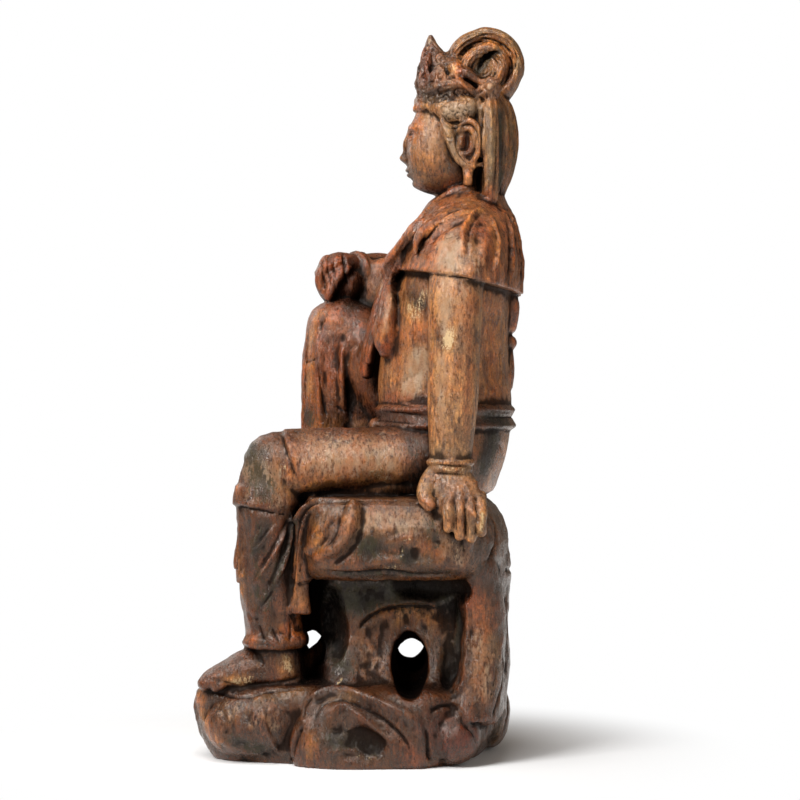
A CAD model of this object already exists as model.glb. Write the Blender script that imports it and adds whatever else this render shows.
# A carved wooden bodhisattva seated at ease on a rock, worn, waxed and once painted.
# Forms are blocked out, joined into one solid, carved along lines on its surface, and finished.
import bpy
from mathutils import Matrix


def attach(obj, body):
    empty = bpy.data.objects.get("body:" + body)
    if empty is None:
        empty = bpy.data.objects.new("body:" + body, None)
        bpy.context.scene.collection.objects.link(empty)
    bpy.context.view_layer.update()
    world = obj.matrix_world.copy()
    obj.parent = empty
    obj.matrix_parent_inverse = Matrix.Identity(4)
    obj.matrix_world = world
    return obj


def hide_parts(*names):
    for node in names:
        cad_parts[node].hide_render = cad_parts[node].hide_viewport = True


bl_info = {
    "name": "Seated Guanyin Carving",
    "version": (1, 0, 0),
    "blender": (4, 5, 0),
    "location": "View3D > Sidebar > Carving",
    "description": "Builds an old painted wood carving of a seated bodhisattva on a pierced rock",
    "category": "Object",
}

from functools import lru_cache

import bmesh
import bpy
import numpy as np
from mathutils import Euler, Matrix, Vector
from mathutils.bvhtree import BVHTree

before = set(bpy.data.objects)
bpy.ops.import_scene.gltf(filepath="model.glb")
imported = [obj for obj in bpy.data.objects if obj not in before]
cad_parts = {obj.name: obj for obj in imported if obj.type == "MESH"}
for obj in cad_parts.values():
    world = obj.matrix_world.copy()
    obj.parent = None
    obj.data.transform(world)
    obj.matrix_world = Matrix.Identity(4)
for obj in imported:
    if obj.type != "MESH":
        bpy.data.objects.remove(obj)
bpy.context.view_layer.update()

NODE = "statue_on_rock"
PIECE = "guanyin_carving"
MM = 0.001

# All shapes below are in millimetres in the carver's own axes: the figure faces -Y, its left is +X,
# the floor is z = 0. HOME is where the origin of those axes lies in the frame.
HOME = np.array([1.35, -7.5, 0.0])

# The viewpoint of the photograph, in the same axes, looking along -X.
EYE = np.array([3000.0, 56.25, 436.3])
FOCAL_PX = 2400.0
PICTURE_PX = 800
CENTRE_PX = PICTURE_PX / 2
SENSOR = 36.0
PASSING = 2950.0  # from the eye to the middle of the carving

ROCK_TOP = 84.0
SEAT_UNDER = 226.0
SEAT_TOP = 318.0
BELT = 415.0
CAPE_HEM = 584.0
CROWN_FOOT = 806.0
FINGER = 6.4
HEAD = {"x": 0.0, "y": 126.0, "z": 762.0, "wide": 49.0, "deep": 60.0, "tall": 64.0}

CUTTER_GRAIN = 3.0
LINE_STEP = 1.2  # in pixels, between the points of a line drawn on the photograph
CAST_STEP = 1.5
JUMP = 14.0  # a longer step along a line means that it has slipped onto another form
CHUNK = 20000
SHADE_RAYS = 26
SHADE_REACH = 150.0
FINE_SHARE = 0.4  # of all the triangles, for the places with the smallest lines
LINE_TAPER = (0.25, 0.25)


# Forms

def through(rows, t):
    """Points of a smooth curve through the rows, at t from 0 to 1."""
    rows = np.asarray(rows, float)
    if len(rows) == 2:
        return rows[0] + np.outer(t, rows[1] - rows[0])
    padded = np.vstack([2 * rows[0] - rows[1], rows, 2 * rows[-1] - rows[-2]])
    place = np.clip(np.asarray(t, float), 0, 1) * (len(rows) - 1)
    k = np.minimum(place.astype(int), len(rows) - 2)
    f = (place - k)[:, None]
    a, b, c, d = (padded[k + i] for i in range(4))
    curve = 2 * b + (c - a) * f + (2 * a - 5 * b + 4 * c - d) * f ** 2 + (3 * b - a - 3 * c + d) * f ** 3
    return 0.5 * curve


def spaced(rows, step):
    """Points about a step apart on a smooth curve through the rows."""
    rows = np.atleast_2d(np.asarray(rows, float))
    if len(rows) == 1:
        return rows
    length = np.linalg.norm(np.diff(rows, axis=0), axis=1).sum()
    return through(rows, np.linspace(0, 1, max(3, int(length / step))))


def around(outline, count):
    """Evenly spaced points of a smooth closed curve through the outline."""
    loop = np.asarray(outline, float)
    n = len(loop)
    padded = np.vstack([loop[-3:], loop, loop[:4]])
    fine = through(padded, (3 + np.linspace(0, n, 40 * n)) / (len(padded) - 1))
    run = np.concatenate([[0], np.cumsum(np.linalg.norm(np.diff(fine, axis=0), axis=1))])
    at = np.linspace(0, run[-1], count, endpoint=False)
    return np.column_stack([np.interp(at, run, fine[:, k]) for k in range(loop.shape[1])])


@lru_cache(maxsize=None)
def globe(sides, rows):
    """A ball's row and angle for each corner, and its faces."""
    bm = bmesh.new()
    bmesh.ops.create_uvsphere(bm, u_segments=sides, v_segments=rows, radius=1)
    at = np.array([v.co[:] for v in bm.verts])
    faces = [[v.index for v in f.verts] for f in bm.faces]
    bm.free()
    row = np.rint((0.5 + np.arcsin(np.clip(at[:, 2], -1, 1)) / np.pi) * rows).astype(int)
    angle = np.arctan2(at[:, 1], at[:, 0])
    return at, row, angle, faces


def rounded_rows(row, rows, ends):
    """How far along its spine each row of a form lies, and how far past the spine's ends, from 0 to 1."""
    t = np.clip((row - ends) / (rows - 2 * ends), 0, 1)
    return t, np.maximum(np.maximum(ends - row, row - rows + ends), 0) / ends


class Forms:
    """Overlapping closed forms that are later joined into one."""

    def __init__(self):
        self.points = []
        self.faces = []
        self.count = 0

    def add(self, at, faces):
        self.points.append(at)
        self.faces.extend([[v + self.count for v in f] for f in faces])
        self.count += len(at)

    def limb(self, stations, side=(1, 0, 0), cap=0.7, fold=None, sides=32, rows=None):
        """A round-ended form along a spine of [x, y, z, half width, half depth] stations."""
        st = np.array([list(s) + [s[3]] * (5 - len(s)) for s in stations], float)
        ends = 4
        if rows is None:
            length = np.linalg.norm(np.diff(st[:, :3], axis=0), axis=1).sum()
            rows = int(np.clip(length / 5, 6, 60))
        rows += 2 * ends
        _, row, angle, faces = globe(sides, rows)
        t, past = rounded_rows(row, rows, ends)
        scale = np.cos(past * np.pi / 2)
        push = np.sin(past * np.pi / 2) * np.where(row < ends, -1, 1)
        centre = through(st[:, :3], t)
        half = np.maximum(through(st[:, 3:5], t), 0.5)
        step = 1e-3
        along = through(st[:, :3], np.minimum(t + step, 1)) - through(st[:, :3], np.maximum(t - step, 0))
        along /= np.linalg.norm(along, axis=1)[:, None]
        side = np.asarray(side, float)
        e1 = side - along * (along @ side)[:, None]
        e1 /= np.linalg.norm(e1, axis=1)[:, None]
        e2 = np.cross(along, e1)
        swell = scale * (fold(angle, t) if fold else 1.0)
        centre = centre + along * (push * cap * half.min(axis=1))[:, None]
        out = centre + e1 * (half[:, 0] * swell * np.cos(angle))[:, None]
        out += e2 * (half[:, 1] * swell * np.sin(angle))[:, None]
        self.add(out, faces)

    def ridge(self, points, thick, ends=0.45, side=(1, 0, 0)):
        """A raised fold, cord or lock that tapers to both ends."""
        last = len(points) - 1
        self.limb([[*p, thick * (ends if i in (0, last) else 1)] for i, p in enumerate(points)],
                  side=side, cap=0.8, sides=14)

    def ball(self, place, radii, turn=(0, 0, 0), fine=28):
        at, _, _, faces = globe(fine, fine // 2 + 4)
        turned = (at * radii) @ np.array(Euler(turn).to_matrix()).T
        self.add(turned + place, faces)

    def stack(self, outline, levels, centre, sides=120, rows=48):
        """Closed outlines in [x, y] piled up, each level [z, scale x, scale y, shift y]."""
        loop = around(outline, sides)
        lv = np.array([list(s) + [0] * (4 - len(s)) for s in levels], float)
        ends = 6
        rows += 2 * ends
        _, row, angle, faces = globe(sides, rows)
        t, past = rounded_rows(row, rows, ends)
        level = through(lv, t)
        spot = np.rint(angle / (2 * np.pi) * sides).astype(int) % sides
        reach = (loop[spot] - centre) * level[:, 1:3] * (1 - past)[:, None]
        x, y = (centre + reach).T
        self.add(np.column_stack([x, y + level[:, 3], level[:, 0]]), faces)

    def bore(self, place, radii, start, end):
        """An oval rod along X, for cutting a tunnel."""
        y, z = place
        ry, rz = radii
        self.limb([[start, y, z, rz, ry], [end, y, z, rz, ry]], side=(0, 0, 1), cap=0.1, sides=40, rows=30)

    def slab(self, place, turn=(0, 0, 0), wide=600, thick=100):
        """A wide slab that hangs from a place."""
        bm = bmesh.new()
        bmesh.ops.create_cube(bm, size=1)
        box = np.array([v.co[:] for v in bm.verts]) * [wide, wide, thick] - [0, 0, thick / 2]
        faces = [[v.index for v in face.verts] for face in bm.faces]
        bm.free()
        self.add(box @ np.array(Euler(turn).to_matrix()).T + place, faces)

    def build(self, name):
        mesh = bpy.data.meshes.new(name)
        mesh.from_pydata(np.vstack(self.points).tolist(), [], self.faces)
        bm = bmesh.new()
        bm.from_mesh(mesh)
        bmesh.ops.recalc_face_normals(bm, faces=bm.faces)
        bm.to_mesh(mesh)
        bm.free()
        obj = bpy.data.objects.new(name, mesh)
        bpy.context.scene.collection.objects.link(obj)
        return obj


def both(make):
    """Makes a form on the figure's left side and on its right."""
    for s in (1, -1):
        make(s)


def rock_forms(f):
    footprint = [
        [62, -194], [102, -170], [118, -116], [136, -58], [158, 2], [170, 58], [164, 100], [124, 142],
        [70, 172], [0, 184], [-76, 180], [-134, 150], [-164, 92], [-164, 20], [-150, -52], [-136, -110],
        [-98, -150], [-30, -178],
    ]
    f.stack(footprint, [
        [0, 0.97, 0.86], [8, 0.99, 0.9], [26, 1.0, 0.955], [52, 0.99, 0.99], [70, 0.975, 1.0],
        [ROCK_TOP, 0.94, 0.975], [90, 0.88, 0.9], [96, 0.7, 0.72, 24],
    ], (0, 0))
    trunk = [
        [110, -24], [108, 40], [112, 104], [122, 142], [98, 176], [48, 190], [0, 193], [-52, 191],
        [-108, 176], [-134, 136], [-130, 60], [-122, -20], [-94, -74], [-44, -94], [4, -82], [60, -48],
    ]
    f.stack(trunk, [
        [56, 1.3, 0.95], [76, 1.24, 0.96], [92, 1.1, 0.97], [112, 0.97, 0.99], [140, 0.88, 1.0],
        [170, 0.83, 1.0], [198, 0.85, 1.0], [220, 0.94, 1.0], [250, 1.0, 0.99],
    ], (0, 70))
    f.limb([[108, 146, 246, 38, 24], [104, 150, 214, 34, 28], [102, 154, 160, 33, 30],
            [108, 148, 100, 37, 32], [110, 138, 60, 40, 36]], cap=0.3)
    f.limb([[-112, 142, 246, 38, 26], [-112, 148, 200, 32, 30], [-116, 142, 130, 34, 34],
            [-122, 126, 66, 38, 38]], cap=0.3)
    f.ball([134, 8, 24], [38, 84, 64])
    f.ball([132, 118, 34], [36, 34, 34])
    f.ball([100, -122, 46], [38, 60, 42], (0.1, 0, -0.2))
    f.ball([-146, 10, 44], [30, 66, 46], (-0.25, 0, 0))
    f.ball([-118, 124, 40], [36, 40, 40])
    f.ball([-52, -146, 46], [60, 36, 42], (0, 0, 0.2))
    f.ball([-10, 168, 44], [66, 26, 42])


def rock_cuts(f):
    f.ball([192, 14, 30], [28, 52, 42])
    f.ball([150, -34, 165], [84, 40, 64])
    f.ball([152, 80, 206], [68, 66, 34])
    f.ball([128, 113, 150], [32, 17, 62])
    f.ball([-168, -20, 160], [60, 50, 60])
    f.ball([-172, 66, 150], [58, 50, 66])
    f.ball([0, 236, 150], [70, 58, 60])
    f.bore([68, 118], [23, 39], 60, 220)
    f.bore([70, 123], [19, 22], -220, 80)
    f.bore([-50, 130], [16, 23], -220, 120)


def rock_extras(f):
    """What stands free in the openings."""
    f.limb([[50, -72, 98, 14], [46, -54, 116, 12], [42, -39, 134, 9], [38, -27, 152, 7]])
    f.ball([-20, 100, 88], [46, 22, 12], (-0.3, 0, 0))


def seat_forms(f):
    edge = [
        [164, -16], [168, 44], [167, 100], [156, 144], [112, 174], [54, 188], [0, 191], [-60, 189],
        [-120, 174], [-160, 136], [-172, 70], [-172, -10], [-160, -82], [-120, -122], [-62, -128],
        [-10, -112], [28, -78], [66, -56], [112, -58], [146, -48],
    ]
    f.stack(edge, [
        [SEAT_UNDER - 4, 0.86, 0.9], [SEAT_UNDER + 2, 0.93, 0.95], [240, 0.985, 0.99], [262, 1.0, 1.0],
        [284, 0.995, 0.975, -1], [300, 0.975, 0.94, -3], [310, 0.94, 0.9, -6], [SEAT_TOP, 0.87, 0.84, -9],
        [SEAT_TOP + 2, 0.7, 0.7, -12],
    ], (0, 30), sides=160)
    f.ridge([[154, 134, 308], [160, 138, 284], [154, 134, 244]], 9)
    f.limb([[156, 2, 313, 8], [159, -2, 294, 12], [159, -9, 275, 13], [156, -24, 260, 12],
            [148, -42, 249, 8]])
    f.limb([[142, -26, 308, 7], [146, -31, 290, 11], [144, -39, 272, 12], [138, -50, 256, 9]])
    f.limb([[160, 36, 268, 9, 8], [162, 70, 272, 10, 13], [158, 104, 262, 9, 8]])
    f.ridge([[-148, -20, 314], [-164, -14, 288], [-164, -28, 246]], 9)
    f.ridge([[-150, 60, 314], [-168, 66, 286], [-166, 56, 246]], 9)
    f.ridge([[-84, -104, 314], [-90, -124, 284], [-82, -126, 246]], 9)


def torso_forms(f):
    f.limb([
        [0, 122, 326, 94, 54], [0, 119, 362, 102, 70], [0, 115, 400, 98, 80], [0, 112, 440, 89, 83],
        [0, 112, 480, 85, 81], [0, 117, 530, 90, 76], [0, 125, 578, 98, 70], [0, 133, 624, 94, 55],
        [0, 142, 660, 62, 42],
    ], cap=0.3, sides=64)
    f.limb([[0, 146, 650, 42, 40], [0, 141, 684, 31, 33], [0, 136, 716, 30, 33]])
    for z in (672, 684):
        f.limb([[0, 142, z - 3, 32, 34], [0, 142, z + 3, 32, 34]], cap=0.1, sides=48)
    f.ridge([[54, 80, 590], [34, 56, 562], [-10, 40, 528], [-52, 52, 492], [-82, 82, 462]], 6)
    f.ridge([[44, 82, 586], [20, 54, 552], [-22, 40, 516], [-60, 56, 478]], 4)


def belt_forms(f):
    f.limb([[0, 112, BELT + z, a, b] for z, a, b in (
        (-17, 95, 81), (-11, 104, 89.5), (-4, 100, 86), (3, 99, 85), (10, 102, 88), (17, 92, 80))],
        cap=0.02, sides=96, rows=24)


CAPE_FOLDS = ((-44, 2, 0.03), (-52, -28, 0.04), (-66, -52, 0.05), (-80, -76, 0.05), (-10, 38, 0.0))


def cape_fold(angle, t):
    turn = np.degrees(angle)
    swell = np.ones_like(turn)
    for neck, hem, size in CAPE_FOLDS:
        way = neck + (hem - neck) * t
        for place in (way, 180 - way):
            apart = (turn - place + 540) % 360 - 180
            swell += size * np.minimum(1, 0.45 + t) * np.exp(-(apart / 7) ** 2)
    return swell


def cape_forms(f):
    f.limb([
        [0, 148, 700, 34, 34], [0, 147, 685, 50, 44], [0, 144, 668, 84, 56], [0, 140, 646, 116, 65],
        [0, 135, 622, 139, 73], [0, 131, 598, 151, 77], [0, 128, CAPE_HEM - 8, 155, 79],
        [0, 127, CAPE_HEM - 34, 155, 79],
    ], cap=0.05, sides=160, rows=60, fold=cape_fold)


def cape_cut(f):
    """What lies under the tipped plane of the cape's hem."""
    f.slab([0, 120, CAPE_HEM], (-0.19, 0, 0))


def floor_cut(f):
    f.slab([0, 0, 0])


def cape_edges(f):
    def border(s):
        for points, thick in (
            ([[34, 176, 684], [58, 128, 676], [76, 78, 646], [50, 46, 612], [12, 38, 598]], 6),
            ([[38, 176, 680], [84, 120, 664], [108, 82, 638], [112, 74, 612]], 6),
            ([[20, 180, 690], [36, 142, 698], [30, 112, 688], [50, 74, 650], [36, 50, 622]], 5),
        ):
            f.ridge([[s * x, y, z] for x, y, z in points], thick)
    both(border)
    f.limb([[0, 146, 690, 40, 40], [0, 147, 699, 37, 38]], cap=0.2, sides=64)
    f.limb([[-92, 116, 630, 46, 42], [-130, 92, 606, 44, 40], [-152, 66, 588, 42, 36],
            [-140, 38, 572, 30, 22]],
           side=(0, 0, 1), sides=56, fold=lambda a, t: 1 + 0.05 * t * np.cos(7 * a))
    f.limb([[-108, 34, 606, 20, 44], [-106, 40, 570, 22, 50], [-104, 46, 536, 20, 50]], sides=56,
           fold=lambda a, t: 1 + 0.05 * t * np.cos(8 * a))


def bangle(f, place, size, side=(1, 0, 0), along=(0, 0, 1)):
    a, b = size
    stations = [[place[i] + k * along[i] for i in range(3)] + [a + g, b + g]
                for k, g in ((-3.5, -2), (-2, 0.4), (0, 1.2), (2, 0.4), (3.5, -2))]
    f.limb(stations, side=side, cap=0.05, sides=56, rows=12)


def left_arm(f):
    f.limb([[96, 128, 616, 31], [126, 123, 566, 31, 33], [134, 121, 496, 28, 31], [136, 119, 430, 27, 30],
            [140, 116, 362, 20, 24]], sides=48)
    bangle(f, [139, 116, 362], [22, 28])
    bangle(f, [139.5, 116, 354], [21, 26])
    f.limb([[140, 116, 356, 17, 22], [144, 116, 342, 17, 29], [151, 118, 328, 16, 34],
            [160, 126, 314, 13, 29]])
    f.limb([[150, 114, 326, 14, 24], [160, 128, 314, 12, 28], [166, 131, 306, 9, 26]])
    for y, tip in ((113, 279), (127, 270), (140, 267), (152, 274)):
        f.limb([[158, y, 322, FINGER + 1], [171, y, 312, FINGER + 0.8], [177, y, 296, FINGER + 0.2],
                [175, y, tip + 6, FINGER - 0.6]], cap=0.9, sides=20, rows=24,
               fold=lambda a, t: 1 + 0.08 * np.cos(4 * np.pi * t))
    f.limb([[142, 98, 346, 11, 14], [151, 90, 334, 11, 13], [160, 86, 322, 9, 10], [168, 92, 311, 7, 8]],
           sides=20)
    f.ball([150, 104, 330], [11, 16, 17])


def right_arm(f):
    f.limb([[-110, 130, 628, 31], [-136, 102, 606, 34, 33], [-154, 62, 594, 30, 30], [-132, 26, 602, 27, 27],
            [-108, -4, 603, 20, 20]], side=(0, 0, 1), sides=48)
    along = (0.66, -0.75, 0)
    f.limb([[-106, -8, 606, 19, 20], [-102, -22, 612, 16, 24], [-99, -34, 608, 14, 26],
            [-97, -38, 594, 12, 26]],
           side=(0, 0, 1))
    f.ball([-98, -22, 584], [24, 17, 26])
    f.ball([-97, -33, 588], [26, 14, 27])
    f.ball([-98, -37, 605], [24, 13, 19])
    f.ball([-98, -12, 585], [22, 24, 24])
    for i, dx in enumerate((-19, -6.5, 6, 18)):
        x = -97 + dx
        drop = 2 * abs(i - 1)
        f.limb([[x, -36, 608, FINGER + 1], [x, -45, 598, FINGER + 0.6], [x, -46, 584, FINGER],
                [x, -40, 570 + drop, FINGER - 1], [x, -30, 566 + drop, FINGER - 1]],
               cap=0.9, sides=20, rows=24)
    f.limb([[-84, -12, 604, 9], [-74, -24, 592, 8.5], [-72, -32, 576, 7], [-74, -36, 568, 6]], sides=20)
    bangle(f, [-108, -1, 603], [26, 25], (0, 0, 1), along)
    bangle(f, [-113, 5, 603], [25, 24], (0, 0, 1), along)


def foot(f, s, place, length):
    x, y, z = place
    toe = y - 0.76 * length
    f.limb([[x, y + 0.13 * length, z + 15, 21, 16], [x, y - 0.03 * length, z + 22, 25, 25],
            [x + s, y - 0.23 * length, z + 25, 27, 27], [x + s, y - 0.40 * length, z + 21, 28, 19],
            [x + 2 * s, y - 0.57 * length, z + 15, 29, 12], [x + 2 * s, toe + 14, z + 9, 26, 8]])
    for i, dx in enumerate((20, 6.5, -4.5, -14.5, -23)):
        f.limb([[x + s * (2 - dx), toe + 29 + 2 * i, z + 11, 6.2 if i else 9.5],
                [x + s * (2 - dx * 1.02), toe + 15 + 4 * i, z + 8, 5.8 if i else 9.2]], cap=0.9, sides=20)


def left_leg(f):
    f.limb([[58, 108, 362, 54, 48], [66, 40, 361, 51, 43], [75, -40, 359, 46, 41], [80, -96, 356, 43, 41]],
           cap=0.95, sides=48)
    f.limb([[70, 34, 361, 46, 38], [73, 0, 360, 50, 43], [76, -46, 358, 49, 44], [78, -82, 356, 47, 44.5]],
           cap=0.04, sides=48)
    f.limb([[80, -92, 356, 40, 42], [80, -101, 316, 42, 42], [80, -101, 270, 41, 39], [80, -102, 226, 41, 37],
            [80, -99, 186, 39.5, 35], [80, -96, 158, 40, 35], [80, -95, 143, 42, 37]],
           cap=0.12, sides=80, fold=lambda a, t: 1 + 0.03 * np.minimum(1, 2 * t) * np.cos(9 * a + 6 * t))
    f.limb([[80, -101, 330, 43, 43], [80, -102, 316, 45, 45], [80, -102, 309, 45, 45]], cap=0.03, sides=64)
    f.limb([[80, -96, 152, 41, 37], [80, -95, 144, 46, 41], [80, -95, 137, 43, 38]], cap=0.04, sides=64,
           fold=lambda a, t: 1 + 0.03 * np.cos(7 * a + 1))
    for points, thick in (
        ([[140, -14, 316], [124, -44, 306], [112, -62, 276], [106, -66, 210], [106, -68, 176]], 7),
        ([[58, -134, 304], [52, -131, 254], [58, -133, 208], [66, -127, 162]], 5.5),
        ([[42, -118, 306], [38, -108, 250], [42, -116, 198], [50, -124, 158]], 5.5),
    ):
        f.ridge(points, thick)
    f.limb([[108, -58, 296, 4, 6], [109, -62, 252, 5, 8], [109, -64, 210, 6, 11], [110, -66, 180, 9, 15]],
           cap=0.2, sides=28)
    f.limb([[80, -94, 132, 26, 29], [80, -92, 112, 27, 31], [80, -92, 98, 27, 33]])
    f.limb([[84, 100, 332, 21, 18], [86, 40, 330, 21, 17], [89, -30, 328, 19, 15], [88, -66, 326, 17, 12]],
           sides=40)
    f.limb([[112, -46, 314, 14, 10], [112, -57, 296, 13, 11], [111, -60, 262, 12, 10],
            [110, -62, 222, 9, 12]],
           fold=lambda a, t: 1 + 0.09 * np.cos(5 * a + 1))
    foot(f, 1, [80, -98, ROCK_TOP - 2], 130)


def right_leg(f):
    f.limb([[-56, 98, 384, 54, 52], [-74, 56, 440, 50, 56], [-90, 10, 500, 46, 52], [-97, -22, 530, 42, 42]],
           cap=0.9, sides=48)
    f.limb([[-97, -20, 534, 42, 42], [-95, -27, 486, 42, 42], [-91, -30, 430, 40, 40],
            [-84, -32, 362, 38, 38],
            [-82, -32, 346, 38, 38]], cap=0.75, sides=64, fold=lambda a, t: 1 + 0.025 * np.cos(8 * a + 4 * t))
    f.limb([[-88, 14, 500, 30, 44], [-84, 24, 450, 34, 56], [-78, 34, 400, 36, 62], [-74, 36, 366, 36, 60]],
           sides=48)
    for points, thick in (
        ([[-72, -40, 552], [-60, -46, 510], [-56, -46, 456], [-52, -44, 390]], 5),
        ([[-70, -10, 552], [-56, -16, 516], [-50, -18, 470], [-52, -12, 410]], 4.5),
        ([[-120, -40, 548], [-134, -46, 505], [-132, -54, 446], [-124, -50, 384]], 4.5),
        ([[-56, 26, 530], [-47, 24, 486], [-44, 32, 430]], 5),
        ([[-134, -8, 536], [-139, -6, 496], [-134, -4, 430], [-124, -8, 376]], 5),
        ([[-130, 34, 500], [-130, 50, 450], [-122, 66, 400]], 5.5),
        ([[-97, -54, 540], [-98, -63, 496], [-92, -66, 436], [-88, -68, 374]], 5),
    ):
        f.ridge(points, thick)
    f.limb([[-83, -32, 356, 40, 40], [-83, -32, 346, 43, 43], [-83, -32, 340, 40, 40]], cap=0.04, sides=64,
           fold=lambda a, t: 1 + 0.03 * np.cos(6 * a))
    foot(f, -1, [-84, -32, SEAT_TOP], 112)


def lap_forms(f):
    f.limb([[0, 60, 366, 96, 46], [0, 10, 356, 92, 40], [0, -40, 342, 80, 36], [2, -76, 322, 60, 30]],
           cap=0.6, sides=64)
    f.limb([[2, -84, 332, 46, 20], [0, -112, 300, 44, 22], [-2, -124, 250, 42, 17], [-4, -128, 200, 45, 15],
            [-4, -126, 168, 44, 12]], cap=0.1, sides=96, fold=lambda a, t: 1 + 0.09 * t * np.cos(9 * a))
    f.ball([0, 26, 403], [10, 9, 10])
    for x, end, s in ((-17, 208, -1), (17, 228, 1)):
        f.limb([[s * 8, 24, 400, 9, 6], [x, -16, 387, 10, 6], [x, -56, 372, 11, 6], [x, -98, 338, 11, 6],
                [x, -134, 294, 12, 5], [x, -144, 246, 13, 5], [x, -145, end, 15, 5]], cap=0.3, sides=24)
        f.limb([[s * 6, 26, 402, 6, 6], [s * 24, 24, 404, 10, 6], [s * 32, 28, 398, 9, 6],
                [s * 12, 26, 398, 5, 6]], side=(0, 0, 1), sides=20)


def knot_forms(f):
    f.ball([0, 46, 598], [16, 14, 15])
    f.limb([[56, 64, 630, 8], [46, 56, 608, 9], [24, 46, 594, 8]])
    f.limb([[10, 46, 594, 9, 8], [28, 44, 572, 11, 10], [40, 42, 542, 17, 15], [41, 41, 514, 19, 18],
            [40, 43, 496, 13, 13]])
    f.limb([[-6, 42, 592, 8, 7], [-13, 32, 560, 10, 8], [-16, 22, 516, 13, 10], [-16, 16, 486, 13, 10],
            [-15, 14, 468, 9, 8]])
    f.limb([[0, 40, 590, 6, 5], [2, 28, 545, 8, 7], [3, 20, 500, 9, 7], [3, 18, 484, 6, 6]])
    f.limb([[0, 190, 576, 14, 10], [0, 194, 552, 18, 12], [0, 192, 526, 13, 10]])
    f.ball([0, 192, 508], [12, 11, 10])
    f.limb([[0, 188, 498, 11, 10], [0, 190, 474, 14, 10], [0, 188, 452, 16, 9]], cap=0.2)


def head_forms(f):
    x, y, z = HEAD["x"], HEAD["y"], HEAD["z"]
    f.ball([x, y + 2, z + 4], [HEAD["wide"] - 1, HEAD["deep"] - 2, HEAD["tall"]], fine=56)
    at, _, _, faces = globe(96, 72)
    power = 2.6
    at = at / (np.abs(at) ** power).sum(axis=1)[:, None] ** (1 / power)
    f.add(at * [HEAD["wide"] - 6, HEAD["deep"] - 12, HEAD["tall"] - 8] + [x, y - 13, z - 14], faces)

    def ear(s):
        f.ball([s * 46, y + 16, z - 9], [6, 15, 26])
        for points, thick, ends in (
            ([(50, 3, 5), (52, 7, 15), (54, 17, 17), (55, 26, 8), (55, 29, -8), (54, 27, -22), (51, 19, -34)],
             3.9, 0.8),
            ([(52, 9, 5), (53, 15, 8), (54, 20, 1), (54, 20, -11), (53, 15, -21), (52, 7, -23)], 2.8, 0.7),
        ):
            f.ridge([[s * a, y + b, z + c] for a, b, c in points], thick, ends=ends)
        f.ball([s * 51, y + 5, z - 9], [4, 3.6, 6])
        f.limb([[s * a, y + 14, z - drop, wide, deep] for a, drop, wide, deep in
                ((47, 38, 4, 8), (49, 52, 5, 6), (48, 61, 4, 6.5))], cap=0.4, sides=20)
    both(ear)


def hair_forms(f):
    f.limb([[0, 148, 816, 40, 34], [0, 157, 790, 49, 41], [0, 163, 762, 48, 41], [0, 163, 730, 45, 37],
            [0, 160, 700, 38, 29]], sides=120, fold=lambda a, t: 1 + 0.018 * np.cos(19 * a))
    f.limb([[0, 124, 798, 48, 50], [0, 124, 811, 47, 49]], cap=0.12, sides=96,
           fold=lambda a, t: 1 + 0.014 * np.cos(18 * a))

    def locks(s):
        f.limb([[s * 34, 96, 797, 6, 5], [s * 43, 108, 795, 11, 9], [s * 46, 124, 793, 15, 11],
                [s * 46, 140, 797, 14, 9], [s * 44, 151, 802, 7, 5]], side=(0, 0, 1))
        f.limb([[s * 45, 112, 780, 5, 9], [s * 47, 114, 768, 6, 8], [s * 48, 120, 752, 6, 6],
                [s * 48, 130, 732, 6, 6], [s * 48, 144, 724, 6, 5], [s * 47, 152, 726, 4, 4]])
        f.limb([[s * 46, 167, 802, 7, 9], [s * 51, 167, 770, 7, 10], [s * 50, 167, 730, 7, 10],
                [s * 44, 167, 684, 7, 10]])
    both(locks)
    f.limb([[0, 122, 832, 18, 10], [0, 122, 858, 21, 9], [0, 134, 880, 24, 9], [0, 162, 892, 25, 9],
            [0, 189, 883, 25, 9], [0, 203, 858, 24, 9], [0, 197, 834, 22, 9], [0, 180, 814, 20, 12]], cap=0.4)
    f.limb([[0, 130, 828, 26, 12], [0, 142, 858, 29, 12], [0, 166, 872, 30, 12], [0, 184, 860, 29, 11],
            [0, 178, 838, 27, 10], [0, 164, 824, 24, 9]], cap=0.6)
    f.ball([0, 160, 846], [24, 38, 38])
    f.ball([0, 175, 848], [25, 11, 20], (0.35, 0, 0))


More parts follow.
